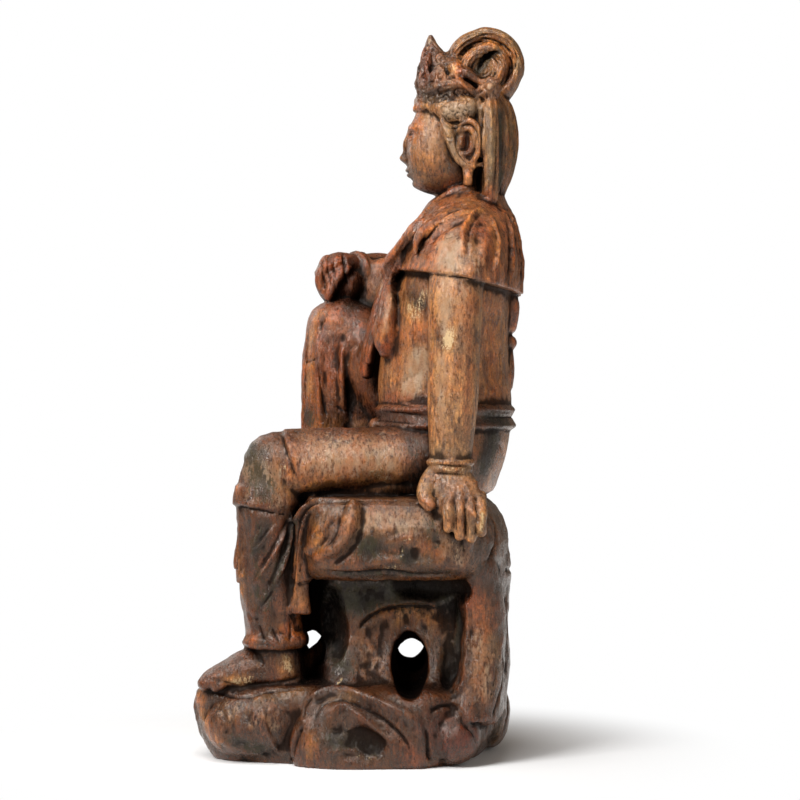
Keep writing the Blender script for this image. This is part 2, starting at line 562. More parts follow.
def crown_forms(f):
    f.limb([[0, 124, CROWN_FOOT, 48, 50], [0, 124, 826, 45, 45], [0, 124, 848, 36, 34],
            [0, 128, 862, 20, 20]],
           cap=0.4, sides=64)
    for rise in (0, 9):
        f.limb([[0, 126, CROWN_FOOT + rise + k, 48 + g, 47 + g] for k, g in ((-3, 0), (0, 2), (3, 0))],
               cap=0.02, sides=96, rows=10)
    f.limb([[0, 101, 814, 34, 25], [0, 104, 836, 30, 21], [0, 102, 852, 25, 19], [0, 99, 864, 19, 15],
            [0, 96, 875, 12.5, 10.5], [0, 94.5, 885, 7, 6], [0, 94.7, 891, 4, 3.5]], cap=0.6, sides=56)
    plates = ((0, 82, 15, 36), (0.56, 60, 12, 43), (-0.56, 60, 12, 43), (1.1, 44, 12, 44), (-1.1, 44, 12, 44))
    for angle, tall, wide, base in plates:
        c, s = np.cos(angle), np.sin(angle)

        def put(x, lift, out=0.0):
            y = 0.5 * max(0, lift - 0.72 * tall) - base - out
            return [c * x - s * y, s * x + c * y + 124, CROWN_FOOT + 2 + lift]
        side = (c, s, 0)
        f.limb([[*put(0, 0), wide * 0.62, 5], [*put(0, tall * 0.3), wide * 0.95, 5.5],
                [*put(0, tall * 0.6), wide * 0.82, 5], [*put(0, tall * 0.85), wide * 0.4, 4.5],
                [*put(0, tall - 3), 2.4, 3.5]], side=side, cap=0.9)
        for t in (-1, 1):
            f.ridge([put(t * wide * 0.6, 2, 3), put(t * wide * 1.02, tall * 0.35, 3),
                     put(t * wide * 0.62, tall * 0.72, 3), put(t * 1.5, tall - 4, 2)],
                    2.6, ends=0.7, side=side)
        f.ridge([put(0, 6, 6), put(0, tall * 0.4, 7), put(0, tall * 0.75, 5)], 3.2, side=side)

    def jewels(s):
        for place, r in (([s * 37, 124, 846], 9.5), ([s * 20, 106, 860], 7), ([s * 32, 106, 838], 8),
                         ([s * 46, 128, 828], 7), ([s * 14, 80, 830], 6), ([s * 30, 88, 822], 6)):
            f.ball(place, [r, r, r], fine=20)
        f.limb([[s * 38, 167, 820, 14, 14], [s * 47, 167, 820, 14, 14], [s * 52, 167, 820, 10, 10]],
               side=(0, 0, 1), cap=0.05, sides=64, fold=lambda a, t: 1 + 0.09 * np.cos(8 * a))
        f.ball([s * 54, 167, 820], [5.5] * 3, fine=20)
        f.ridge([[s * 30, 84, 816], [s * 46, 104, 822], [s * 50, 132, 824], [s * 46, 154, 812]], 6)
        f.ridge([[s * 44, 116, 834], [s * 46, 132, 840], [s * 44, 146, 834], [s * 44, 158, 822]], 5.5)
    both(jewels)
    for k in range(9):
        a = (k - 4) * 0.36
        f.ball([49 * np.sin(a), 126 - 48 * np.cos(a), CROWN_FOOT + 4], [4.5] * 3, fine=20)
    f.ball([0, 88, 842], [7, 7, 7], fine=20)
    f.ball([0, 84, 824], [8, 8, 8], fine=20)


# Joining

def changed(obj, kind, **settings):
    """Applies one modifier to the object's mesh."""
    mod = obj.modifiers.new(kind.lower(), kind)
    for key, value in settings.items():
        setattr(mod, key, value)
    graph = bpy.context.evaluated_depsgraph_get()
    mesh = bpy.data.meshes.new_from_object(obj.evaluated_get(graph))
    obj.modifiers.clear()
    old = obj.data
    obj.data = mesh
    bpy.data.meshes.remove(old)
    return obj


def remeshed(obj, size):
    return changed(obj, "REMESH", mode="VOXEL", voxel_size=size, use_smooth_shade=True)


def merged(name, objects):
    bm = bmesh.new()
    for obj in objects:
        bm.from_mesh(obj.data)
    mesh = bpy.data.meshes.new(name)
    bm.to_mesh(mesh)
    bm.free()
    for obj in objects:
        bpy.data.objects.remove(obj)
    obj = bpy.data.objects.new(name, mesh)
    bpy.context.scene.collection.objects.link(obj)
    return obj


def made(*makers):
    f = Forms()
    for make in makers:
        make(f)
    return f


def formed(name, *makers):
    return made(*makers).build(name)


def cut_away(obj, cutter):
    changed(obj, "BOOLEAN", operation="DIFFERENCE", object=cutter, solver="MANIFOLD")
    bpy.data.objects.remove(cutter)
    return obj


def block_out(size):
    """All the forms as one closed solid."""
    cape = cut_away(remeshed(formed("cape", cape_forms), size), formed("cutter", cape_cut))
    tunnels = remeshed(formed("cutter", rock_cuts), CUTTER_GRAIN)
    rock = cut_away(remeshed(formed("rock", rock_forms), size), tunnels)
    cut_away(rock, formed("cutter", floor_cut))
    apart = (cape_forms, rock_forms, rock_cuts)
    rest = formed("rest", *(make for makers in MAKERS.values() for make in makers if make not in apart))
    return remeshed(merged(PIECE, [cape, rock, rest]), size)


# Carving

def ridge(s, d, w):
    return np.exp(-(d / w) ** 2)


def groove(s, d, w):
    return -np.exp(-(d / w) ** 2)


def vcut(s, d, w):
    return -np.clip(1 - d / w, 0, 1) ** 1.3


def fold(s, d, w):
    """A ridge with a valley along one side."""
    along = np.exp(-(np.maximum(0, d - np.abs(s)) / w) ** 2)
    return np.exp(-(d / w) ** 2) - 0.75 * along * np.exp(-((s - 1.7 * w) / w) ** 2)


def layer(s, d, w):
    """Cloth that ends along the line: proud on one side, cut in under its edge on the other."""
    along = np.exp(-(np.maximum(0, d - np.abs(s)) / w) ** 2)
    proud = 1 / (1 + np.exp(np.clip(5 * s / w, -30, 30))) * np.exp(-(np.minimum(s, 0) / (4 * w)) ** 2)
    return along * (proud - 0.7 * np.exp(-((s - 0.7 * w) / (0.6 * w)) ** 2))


def ease(x):
    """From 0 to 1, slow at both ends."""
    x = np.clip(x, 0, 1)
    return x * x * (3 - 2 * x)


@lru_cache(maxsize=None)
def lattice(seed):
    return np.random.default_rng(seed).uniform(-1, 1, (24, 24, 24))


def noise(at, size, seed):
    """Smooth random values between -1 and 1, with a lump about every `size`."""
    table = lattice(seed)
    q = np.asarray(at) / size + 7.3 + seed
    k = np.floor(q).astype(int)
    f = ease(q - k)
    total = np.zeros(len(q))
    for corner in np.ndindex(2, 2, 2):
        weight = np.prod(np.where(np.array(corner) == 1, f, 1 - f), axis=1)
        x, y, z = ((k + corner) % 24).T
        total += weight * table[x, y, z]
    return total


def creased(at, size, seed):
    """Random values between -1 and 1 that rise to sharp ridges between smooth hollows."""
    return 1 - 2 * np.abs(noise(at, size, seed))


def values_of(items, name, width, kind=float):
    """One row of values for each of a mesh's points, edges or faces."""
    flat = np.empty(width * len(items), kind)
    items.foreach_get(name, flat)
    return flat.reshape(-1, width)


class Surface:
    """A dense mesh whose points are pushed along their smoothed normals."""

    relief = 1.0

    def __init__(self, obj):
        self.obj = obj
        self.mesh = obj.data
        self.at = values_of(self.mesh.vertices, "co", 3)
        self.pairs = values_of(self.mesh.edges, "vertices", 2, int)
        self.valence = np.bincount(self.pairs.ravel(), minlength=len(self.at)).astype(float)
        self.normal = self.averaged(values_of(self.mesh.vertices, "normal", 3), 4)
        self.normal /= np.maximum(np.linalg.norm(self.normal, axis=1), 1e-6)[:, None]
        self.retree()

    def averaged(self, values, times=1):
        """Each point's value averaged with its neighbours', as many times as asked."""
        a, b = self.pairs.T
        count = len(self.at)
        columns = values.reshape(count, -1)
        for _ in range(times):
            total = np.empty_like(columns)
            for k in range(columns.shape[1]):
                total[:, k] = np.bincount(a, columns[b, k], count) + np.bincount(b, columns[a, k], count)
            columns = (columns + total) / (1 + self.valence)[:, None]
        return columns.reshape(values.shape)

    def path(self, rays):
        hits = []
        for start, way in rays:
            place, normal, _, _ = self.tree.ray_cast(Vector(start), Vector(way).normalized())
            if place is not None:
                hits.append([*place, *normal])
        if not hits:
            # just past the outline: the nearest surface to where the line passes
            past = [np.array(start) + np.array(Vector(way).normalized()) * PASSING for start, way in rays]
            return self.laid(past)
        hits = np.array(hits)
        # a line that slips off its form onto something behind is cut short there
        jumps = np.linalg.norm(np.diff(hits[:, :3], axis=0), axis=1) > JUMP
        if jumps.any():
            ends = np.concatenate([[0], np.flatnonzero(jumps) + 1, [len(hits)]])
            longest = np.argmax(np.diff(ends))
            hits = hits[ends[longest]:ends[longest + 1]]
        return hits[:, :3], hits[:, 3:]

    def seen(self, pixels):
        """The surface under a line drawn on the photograph."""
        return self.path([(EYE, (-1, (u - CENTRE_PX) / FOCAL_PX, (CENTRE_PX - v) / FOCAL_PX))
                          for u, v in spaced(pixels, LINE_STEP)])

    def cast(self, points, way, back=400):
        """The surface under a line of [x, y, z] points, looked at along `way`."""
        return self.path([(p - back * np.asarray(way, float), way) for p in spaced(points, CAST_STEP)])

    def laid(self, points):
        """The nearest surface to each point."""
        hits = [self.tree.find_nearest(Vector(p)) for p in points]
        return np.array([h[0][:] for h in hits]), np.array([h[1][:] for h in hits])

    def mirrored(self, path):
        return self.laid(path[0] * [-1, 1, 1])

    def near(self, points, reach):
        """The mesh's points in the box around some points, and which of those each is nearest to."""
        boxed = (self.at > points.min(axis=0) - reach) & (self.at < points.max(axis=0) + reach)
        ids = np.flatnonzero(boxed.all(axis=1))
        nearest = np.empty(len(ids), int)
        for k in range(0, len(ids), CHUNK):
            part = self.at[ids[k:k + CHUNK]]
            square = (points ** 2).sum(axis=1)[None] - 2 * part @ points.T
            nearest[k:k + CHUNK] = square.argmin(axis=1)
        return ids, nearest

    def stroke(self, path, width, height, kind=groove, taper=LINE_TAPER):
        """Cuts or raises a line: `kind` gives its profile and `taper` how it fades at its ends."""
        points, normals = path
        reach = width * (9 if kind is layer else 4)
        ids, nearest = self.near(points, reach)
        if len(ids) == 0:
            return
        tangent = np.gradient(points, axis=0) if len(points) > 1 else np.zeros_like(points) + [0, 0, 1]
        side = np.cross(tangent, normals)
        side /= np.maximum(np.linalg.norm(side, axis=1), 1e-9)[:, None]
        offset = self.at[ids] - points[nearest]
        d = np.linalg.norm(offset, axis=1)
        s = (offset * side[nearest]).sum(axis=1)
        run = nearest / max(1, len(points) - 1)
        fade = ease(run / taper[0]) if taper[0] else 1.0
        fade = fade * (ease((1 - run) / taper[1]) if taper[1] else 1.0)
        faces_same_way = (self.normal[ids] * normals[nearest]).sum(axis=1) > 0.1
        close = d < reach
        push = self.relief * height * fade * kind(s, d, width) * (faces_same_way & close)
        self.at[ids] += self.normal[ids] * push[:, None]

    def both(self, path, width, height, kind=groove, taper=LINE_TAPER):
        """A stroke on the left side, and its mirror image on the right."""
        self.stroke(path, width, height, kind, taper)
        self.stroke(self.mirrored(path), width, height, kind, taper)

    def press(self, place, reach, push):
        """Moves what is near a place by the same push, less with distance."""
        near = (((self.at - np.array(place, float)) / np.array(reach, float)) ** 2).sum(axis=1)
        ids = np.flatnonzero(near < 6)
        self.at[ids] += np.exp(-near[ids])[:, None] * np.array(push, float)

    def raise_by(self, amount):
        self.at += self.normal * amount[:, None]

    def part(self, name):
        """How much each point belongs to one of the forms, from 0 to 1."""
        return self.shares[name]

    def retree(self):
        """Sets up the search for places on the surface, as it is now."""
        bpy.context.view_layer.update()
        self.tree = BVHTree.FromObject(self.obj, bpy.context.evaluated_depsgraph_get())

    def grounded(self):
        """Keeps every point on or above the floor."""
        self.at[:, 2] = np.maximum(self.at[:, 2], 0)

    def write(self):
        self.mesh.vertices.foreach_set("co", self.at.ravel())
        self.mesh.update()


# Details
# Each line is drawn on the photograph, in its pixels, with its width and height in millimetres and its
# cut, which is a groove where none is named.

HEAD_LINES = {
    "hairline": ([(428, 108), (437, 118), (441, 130), (446, 147), (453, 161), (462, 168)], 1.7, 2.4),
    "lock_under": ([(438, 111), (446, 120), (455, 123), (465, 119), (475, 107)], 1.7, 2.6),
    "lock_over": ([(438, 106), (448, 101), (460, 99), (477, 101)], 1.6, 1.8),
    "lock_end": ([(436, 104), (434, 109), (438, 114)], 1.4, 1.6),
    "lock_line": ([(440, 108), (447, 103), (457, 101), (468, 100), (475, 101)], 0.9, 0.7),
    "temple_lock": ([(442, 124), (448, 128), (456, 128), (463, 124)], 1.4, 1.4),
    "temple_end": ([(444, 136), (450, 139), (455, 136)], 1.4, 1.6),
    "side_strip_back": ([(455, 132), (456, 146), (460, 156), (468, 163), (477, 162)], 1.2, 2.0),
    "ear_rim": ([(460, 131), (463, 126), (470, 125), (476, 131), (478, 143), (476, 154), (469, 161)],
                1.1, 1.8),
    "ear_front": ([(457, 130), (456, 142), (459, 154)], 1.2, 1.4),
    "ear_inner": ([(463, 134), (467, 132), (471, 137), (471, 148), (466, 155)], 1.2, 1.6),
    "ribbon_front": ([(482, 104), (482, 125), (482, 160), (483, 200)], 1.7, 3.4),
    "ribbon_back": ([(497, 104), (497.5, 128), (497, 160), (495, 196)], 1.7, 2.6),
    "ribbon_a": ([(486, 108), (486, 140), (487, 196)], 0.9, 0.7),
    "ribbon_b": ([(489.5, 106), (490, 140), (490, 196)], 0.9, 0.9),
    "ribbon_c": ([(493, 108), (493.5, 140), (493, 194)], 0.9, 0.6),
    "loop_rim": ([(451, 58), (463, 45), (478, 37), (492, 35), (506, 41), (515, 53), (514, 68), (504, 81)],
                 1.7, 2.6),
    "loop_rim_line": ([(453, 51), (467, 38), (488, 31.5), (508, 37), (519, 51), (520, 66), (508, 84)],
                      1.0, 0.8),
    "loop_gap": ([(474, 86), (477, 72), (483, 60), (492, 54), (503, 52)], 3.0, 7.0),
    "loop_line_a": ([(459, 62), (470, 50), (484, 43), (498, 45), (507, 55), (506, 68)], 1.0, 0.8),
    "loop_line_b": ([(465, 68), (474, 56), (486, 48)], 1.0, 0.8),
    "loop_line_c": ([(484, 74), (489, 62), (497, 57), (503, 61), (501, 73)], 1.1, 0.9),
    "crown_leaf": ([(457, 80), (467, 88), (483, 103)], 2.2, 2.6, ridge),
    "crown_leaf_under": ([(453, 85), (463, 95), (478, 106)], 1.4, 1.6),
    "crown_leaf_vein": ([(458, 82), (468, 91), (481, 103)], 0.9, 0.8),
    "band_upper": ([(417, 91), (428, 95), (441, 94), (452, 88)], 1.3, 1.5),
    "band_lower": ([(414, 99), (426, 103), (438, 102), (450, 97)], 1.3, 1.6),
    "plate_edge": ([(431, 36), (438, 43), (444, 51), (450, 57)], 1.8, 1.6, ridge),
    "plate_edge_in": ([(431, 42), (436, 47), (441, 54)], 1.0, 1.3),
    "plate_vein": ([(427, 44), (427, 56), (429, 68), (430, 80)], 1.1, 1.5),
    "plate_side": ([(433, 46), (432, 56), (433, 66), (432, 74)], 1.0, 1.3),
    "plate_curl_a": ([(423, 58), (427, 54), (430, 59), (427, 64)], 0.9, 1.2),
    "plate_curl_b": ([(424, 74), (428, 70), (431, 75), (428, 80)], 0.9, 1.2),
    "plate_curl_c": ([(445, 66), (447, 72), (452, 80), (460, 80)], 1.0, 1.4),
}

CAPE_LINES = {
    "border_a": ([(484, 198), (456, 203), (432, 213), (413, 230), (400, 251), (393, 264)], 1.8, 2.0),
    "border_b": ([(482, 202), (453, 208), (429, 220), (412, 237), (401, 256), (396, 266)], 1.8, 2.0),
    "border_c": ([(478, 206), (456, 211), (438, 218), (421, 230), (412, 245), (408, 262)], 1.7, 1.3),
    "pale_fold": ([(483, 209), (460, 213), (440, 223), (427, 234), (421, 246), (421, 261)], 3.2, 3.6, ridge),
    "pale_fold_hollow": ([(474, 217), (452, 225), (437, 235), (430, 248)], 4.8, 3.4),
    "teardrop": ([(487, 204), (473, 213), (465, 224), (462, 238), (463, 256)], 3.0, 3.8, ridge),
    "teardrop_side": ([(487, 207), (476, 218), (470, 230), (468, 246), (466, 261)], 2.2, 2.3),
    "arch_hollow": ([(486, 213), (480, 226), (477, 246), (478, 270)], 6.5, 3.0),
    "front_hollow": ([(458, 228), (451, 240), (447, 256), (446, 270)], 8.0, 2.2),
    "back_fold": ([(489, 211), (495, 226), (499, 243), (497, 262), (494, 279)], 2.6, 3.0, ridge),
    "back_fold_side": ([(492, 212), (500, 228), (504, 245), (502, 266)], 3.4, 1.4),
    "rear_fold": ([(497, 206), (508, 222), (513, 244), (511, 274)], 3.0, 1.6, ridge),
    "gather": ([(489, 203), (498, 205), (506, 212)], 1.6, 2.0),
    "gather_low": ([(491, 207), (501, 214), (509, 226)], 1.5, 1.6),
    "collar_a": ([(478, 194), (490, 197), (503, 199)], 1.5, 1.6),
    "hem": ([(396, 271), (414, 272), (432, 274), (456, 277), (486, 281)], 1.3, 3.0),
    "hem_lip": ([(398, 267), (432, 270), (460, 273), (486, 277)], 2.2, 0.9, ridge),
}

CHEST_LINES = {
    "knot_a": ([(397, 258), (391, 270), (385, 283)], 1.1, 1.6),
    "knot_b": ([(400, 260), (395, 273), (391, 284)], 1.1, 1.4),
    "knot_c": ([(393, 258), (387, 266), (381, 276)], 1.1, 1.3),
    "knot_band": ([(379, 281), (388, 283), (400, 281)], 1.3, 2.2),
    "near_tail_edge": ([(384, 292), (380, 314), (375, 336), (374, 352)], 1.7, 2.2),
    "near_tail_crest": ([(393, 290), (389, 312), (384, 334), (381, 350)], 3.2, 1.5, ridge),
    "near_tail_line": ([(397, 288), (398, 310), (395, 334)], 1.4, 1.1),
    "far_tail_line": ([(379, 316), (371, 338), (366, 356)], 1.3, 1.6),
    "far_tail_fold": ([(376, 310), (368, 332), (363, 352)], 1.7, 1.4, ridge),
    "arm_crease": ([(432, 276), (432, 310), (433, 344), (428, 362), (427, 430)], 1.5, 1.2),
    "side_grain_a": ([(492, 300), (491, 345), (492, 395)], 1.2, 0.8),
    "side_grain_b": ([(500, 296), (499, 340), (501, 398)], 1.2, 0.8),
    "belly_fold": ([(424, 372), (408, 378), (392, 392), (384, 402)], 3.5, 1.6),
    "belt_top": ([(372, 402), (398, 404), (428, 409)], 1.5, 1.6),
    "belt_middle": ([(368, 411), (398, 413), (428, 416)], 1.3, 2.4),
    "belt_low": ([(366, 420), (398, 422), (428, 425)], 1.5, 2.0),
    "belt_rear": ([(484, 411), (500, 412), (513, 413)], 1.4, 2.2),
    "belt_rear_low": ([(484, 429), (500, 430), (513, 430)], 1.6, 1.6),
}

LEG_LINES = {
    "robe_edge": ([(277, 427), (284, 437), (288, 452), (294, 468), (299, 484)], 3.0, 2.8, layer),
    "robe_edge_crease": ([(279, 430), (286, 441), (290, 455), (296, 470), (300, 482)], 1.2, 1.6),
    "knee_hem": ([(232, 506), (246, 508), (268, 512), (293, 516)], 1.2, 3.0),
    "knee_hem_lip": ([(232, 502), (247, 504), (269, 508), (292, 511)], 2.4, 1.6, ridge),
    "thigh_under": ([(300, 492), (318, 496), (350, 497), (400, 496), (424, 490)], 2.0, 3.2),
    "sweep_a": ([(345, 499), (322, 500), (305, 507), (296, 521), (289, 545), (279, 575), (262, 606)],
                3.4, 4.4, fold),
    "sweep_b": ([(338, 504), (318, 506), (307, 516), (301, 533), (299, 556), (296, 590), (292, 611)],
                2.6, 3.6, fold),
    "sweep_c": ([(296, 514), (288, 527), (277, 548), (262, 573), (250, 590)], 2.8, 3.0, fold),
    "sweep_d": ([(278, 521), (269, 534), (258, 547), (249, 555)], 2.4, 2.2, fold),
    "sweep_e": ([(287, 560), (278, 580), (268, 598), (256, 612)], 2.0, 2.4),
    "sweep_f": ([(262, 520), (257, 532), (249, 541)], 2.2, 1.6),
    "front_swell": ([(244, 572), (240, 582), (242, 596)], 4.0, 2.4, ridge),
    "tail_edge": ([(304, 520), (302, 550), (298, 585), (294, 612)], 1.4, 2.0),
    "seam": ([(288, 612), (297, 615), (307, 616)], 1.1, 2.2),
    "hem_fold_a": ([(258, 622), (262, 634), (266, 643)], 1.8, 2.4),
    "hem_fold_b": ([(271, 625), (276, 636), (283, 647)], 1.8, 2.4),
    "hem_fold_c": ([(290, 620), (291, 632), (289, 644)], 1.8, 2.0),
    "hem_edge": ([(243, 643), (256, 645), (268, 645), (280, 650), (292, 648), (304, 636)], 1.6, 2.4),
    "hem_wave": ([(246, 636), (258, 640), (270, 638), (281, 643), (294, 640)], 3.0, 1.6, ridge),
    "shin_pit": ([(246, 612), (252, 618), (260, 620)], 3.0, 1.6),
}

FAR_LEG_LINES = {
    "shin_edge": ([(331, 302), (321, 325), (318, 350), (321, 384), (325, 408), (328, 420)], 2.0, 3.0),
    "shin_notch": ([(304, 362), (311, 361), (318, 357)], 1.5, 3.0),
    "swirl": ([(358, 322), (344, 336), (337, 356), (340, 378)], 4.4, 2.4),
    "swirl_inner": ([(360, 340), (350, 350), (346, 366)], 3.4, 1.8),
    "swirl_fold": ([(368, 330), (358, 346), (352, 368), (354, 390)], 4.4, 2.0, ridge),
    "long_fold": ([(326, 318), (325, 350), (330, 385), (336, 410)], 3.0, 1.5, ridge),
    "foot_fold": ([(334, 404), (342, 410), (350, 412)], 2.0, 2.2),
    "hand_a": ([(323, 252), (322, 268), (326, 288)], 1.4, 2.4),
    "hand_b": ([(329, 251), (328, 270), (331, 292)], 1.4, 2.4),
    "hand_c": ([(335, 250), (334, 270), (336, 293)], 1.3, 2.0),
    "wrist_a": ([(345, 248), (344, 262), (349, 290)], 2.0, 4.0),
    "bangle_a": ([(350, 246), (346, 258), (350, 276)], 1.4, 1.2, ridge),
}

LEDGE_LINES = {
    "top_roll": ([(430, 500), (392, 501), (350, 501), (324, 504), (311, 512), (306, 524)], 2.0, 2.0),
    "top_roll_inner": ([(424, 507), (388, 507), (350, 506), (328, 508), (316, 515), (311, 528)],
                       1.6, 1.4, ridge),
    "end_crescent": ([(309, 516), (305, 532), (306, 552), (312, 567)], 1.8, 2.0),
    "turned_fold": ([(354, 506), (351, 524), (345, 539), (333, 550), (318, 558)], 4.5, 3.0, ridge),
    "turned_fold_cut": ([(365, 498), (364, 516), (361, 533), (353, 549), (338, 562), (318, 570)], 3.6, 3.6),
    "inner_fold": ([(330, 508), (327, 524), (321, 539), (312, 553)], 3.6, 2.6, ridge),
    "inner_fold_cut": ([(340, 512), (338, 528), (331, 541), (320, 549)], 2.2, 3.0),
    "front_swell": ([(372, 532), (396, 528), (430, 530), (462, 538)], 8.0, 2.6, ridge),
    "front_swell_low": ([(350, 567), (390, 561), (420, 564), (452, 560)], 5.0, 2.6, ridge),
    "corner_fold": ([(470, 508), (479, 526), (480, 546), (474, 562)], 4.0, 4.0, ridge),
    "low_lip": ([(316, 569), (350, 573), (386, 571), (420, 575), (465, 575)], 2.6, 3.6),
    "low_roll": ([(318, 575), (360, 578), (412, 579), (468, 583)], 2.4, 1.4, ridge),
    "right_end": ([(488, 512), (495, 528), (494, 548), (484, 566)], 2.0, 3.0),
    "scratch": ([(400, 556), (402, 548), (404, 540), (412, 540)], 1.1, 1.2),
    "front_chips": ([(380, 561), (396, 563), (410, 560)], 2.2, 1.6),
}

HAND_LINES = {
    "thumb_top": ([(436, 496), (437, 503), (437, 508)], 1.5, 2.0),
    "thumb_under": ([(418, 500), (426, 506), (434, 510)], 1.5, 1.5),
    "index_front": ([(444, 503), (445, 518), (447, 533)], 1.4, 1.8),
    "gap_a": ([(455, 500), (455.5, 518), (456, 536)], 1.3, 2.6),
    "gap_b": ([(465, 501), (465.5, 520), (466, 542)], 1.3, 2.8),
    "gap_c": ([(476, 502), (476, 520), (476, 538)], 1.3, 2.6),
    "tendon_a": ([(447, 482), (450, 492), (451, 502)], 1.8, 0.9, ridge),
    "tendon_b": ([(455, 480), (460, 491), (461, 502)], 1.8, 0.9, ridge),
    "tendon_c": ([(463, 480), (469, 491), (471, 502)], 1.8, 0.9, ridge),
    "joint_a": ([(446, 516), (454, 516)], 0.9, 0.6),
    "joint_b": ([(457, 519), (464, 519)], 0.9, 0.6),
    "joint_c": ([(467, 520), (475, 520)], 0.9, 0.6),
    "nail_a": ([(448, 530), (452, 532)], 1.0, 0.8),
    "nail_b": ([(458, 536), (463, 537)], 1.0, 0.8),
    "nail_c": ([(469, 537), (473, 537)], 1.0, 0.8),
    "wrist": ([(432, 473), (452, 474), (472, 475)], 1.5, 1.8),
    "bangle_line": ([(431, 464), (452, 466), (475, 466)], 1.2, 1.8),
}

ROCK_LINES = {
    "front_crevice": ([(304, 724), (297, 736), (293, 748), (292, 763)], 3.0, 6.5),
    "front_crevice_top": ([(318, 694), (308, 706), (303, 722)], 2.6, 2.6),
    "arch_ridge": ([(303, 735), (306, 712), (316, 696), (334, 690), (365, 697), (394, 709), (414, 720),
                    (423, 737), (429, 764)], 6.0, 5.0, ridge),
    "arch_valley": ([(312, 738), (315, 718), (324, 705), (342, 700), (368, 710), (392, 726), (408, 745),
                     (412, 766)], 3.6, 3.6, vcut),
    "inner_ridge": ([(327, 724), (333, 710), (345, 706), (356, 714), (374, 728), (391, 742), (397, 765)],
                    4.4, 3.6, ridge),
    "concave": ([(326, 740), (346, 730), (368, 740), (384, 756)], 15.0, 6.5),
    "concave_shelf": ([(318, 757), (346, 750), (372, 757), (384, 766)], 3.4, 2.6, ridge),
    "lump_crevice": ([(418, 718), (426, 734), (428, 750), (432, 766)], 2.6, 5.0),
    "lump_line": ([(459, 712), (463, 724), (473, 734), (478, 752)], 2.6, 3.0),
    "lump_top": ([(428, 714), (438, 707), (450, 705), (461, 711)], 3.0, 3.2),
    "lump_grain_a": ([(440, 726), (441, 740), (443, 758)], 1.4, 0.9),
    "lump_grain_b": ([(452, 720), (455, 738), (458, 754)], 1.4, 0.9),
    "pillar_edge": ([(466, 585), (468, 620), (467, 655), (462, 685), (446, 700)], 3.2, 2.6, ridge),
    "hollow": ([(456, 598), (460, 630), (456, 665), (446, 688)], 6.0, 4.2),
    "pillar_back": ([(503, 640), (502, 680), (493, 712), (484, 740), (462, 760)], 2.2, 2.8),
    "pillar_crack": ([(497, 655), (494, 680), (489, 704)], 1.3, 1.4),
    "recess_arch": ([(356, 634), (362, 621), (374, 612), (390, 606), (420, 604), (444, 608)],
                    3.0, 3.4, layer),
    "top_shelf": ([(207, 690), (240, 697), (276, 692), (320, 688)], 2.4, 2.0),
    "block_lens": ([(253, 703), (268, 694), (290, 692), (305, 696)], 2.2, 1.8, ridge),
    "block_facet": ([(214, 702), (222, 712), (226, 728), (222, 744)], 3.0, 2.2),
    "block_curve": ([(262, 704), (264, 722), (272, 742), (284, 758)], 2.6, 3.4, ridge),
    "block_hollow": ([(246, 708), (250, 724), (258, 744), (268, 758)], 5.0, 2.8),
    "block_pit": ([(232, 742), (246, 746), (258, 754)], 5.0, 2.4),
    "block_lines": ([(231, 706), (232, 722), (234, 738)], 2.0, 1.4),
    "tunnel_rim": ([(390, 668), (391, 648), (401, 634), (414, 631), (427, 637), (434, 650), (436, 668),
                    (429, 688), (413, 697)], 2.4, 1.2, ridge),
    "chip": ([(334, 688), (339, 681), (344, 677)], 1.8, 1.8, ridge),
    "foot_shelf": ([(238, 686), (262, 684), (290, 680), (303, 676)], 2.0, 2.4),
    "toe_line": ([(200, 676), (214, 680), (236, 684)], 1.8, 1.6),
}


def circle(place, radius, start=0, turn=360, count=24):
    angle = np.radians(start + np.linspace(0, turn, count))
    return [(place[0] + radius * np.cos(a), place[1] + radius * np.sin(a)) for a in angle]


CROWN_RINGS = {
    "upper_rosette": ((440, 58), 5.4),
    "upper_rosette_eye": ((440, 58), 2.4),
    "lower_rosette": ((441, 76), 6.0),
    "lower_rosette_eye": ((441, 76), 2.8),
    "pearl": ((455, 69.5), 8.2),
    "scroll": ((461, 86), 3.6),
    "flower_eye": ((488.7, 86.3), 4.8),
}
FLOWER = (488.7, 86.3)
LOCK_CURLS = (((444, 110), 3.4), ((453, 108), 3.8), ((462, 106), 3.8), ((470, 105), 3.2), ((449, 117), 2.8),
              ((458, 116), 3.0), ((466, 113), 2.8))
CROWN_CURLS = (((428, 48), 3.0), ((434, 52), 2.6), ((427, 62), 3.0), ((433, 68), 2.6), ((426, 76), 3.2),
               ((432, 84), 2.8), ((424, 88), 2.6), ((448, 66), 2.4), ((449, 84), 2.8), ((457, 92), 2.6),
               ((441, 91), 2.8), ((466, 92), 2.4), ((430, 99), 2.4), ((420, 96), 2.2), ((446, 97), 2.4))
HEAD_HOLLOWS = (((467, 140), (9, 4, 8), 5.0), ((466, 149), (8, 3.6, 5), 3.6),
                ((478, 178), (10, 4.5, 13), 7.0), ((477, 118), (9, 4, 6), 3.5))


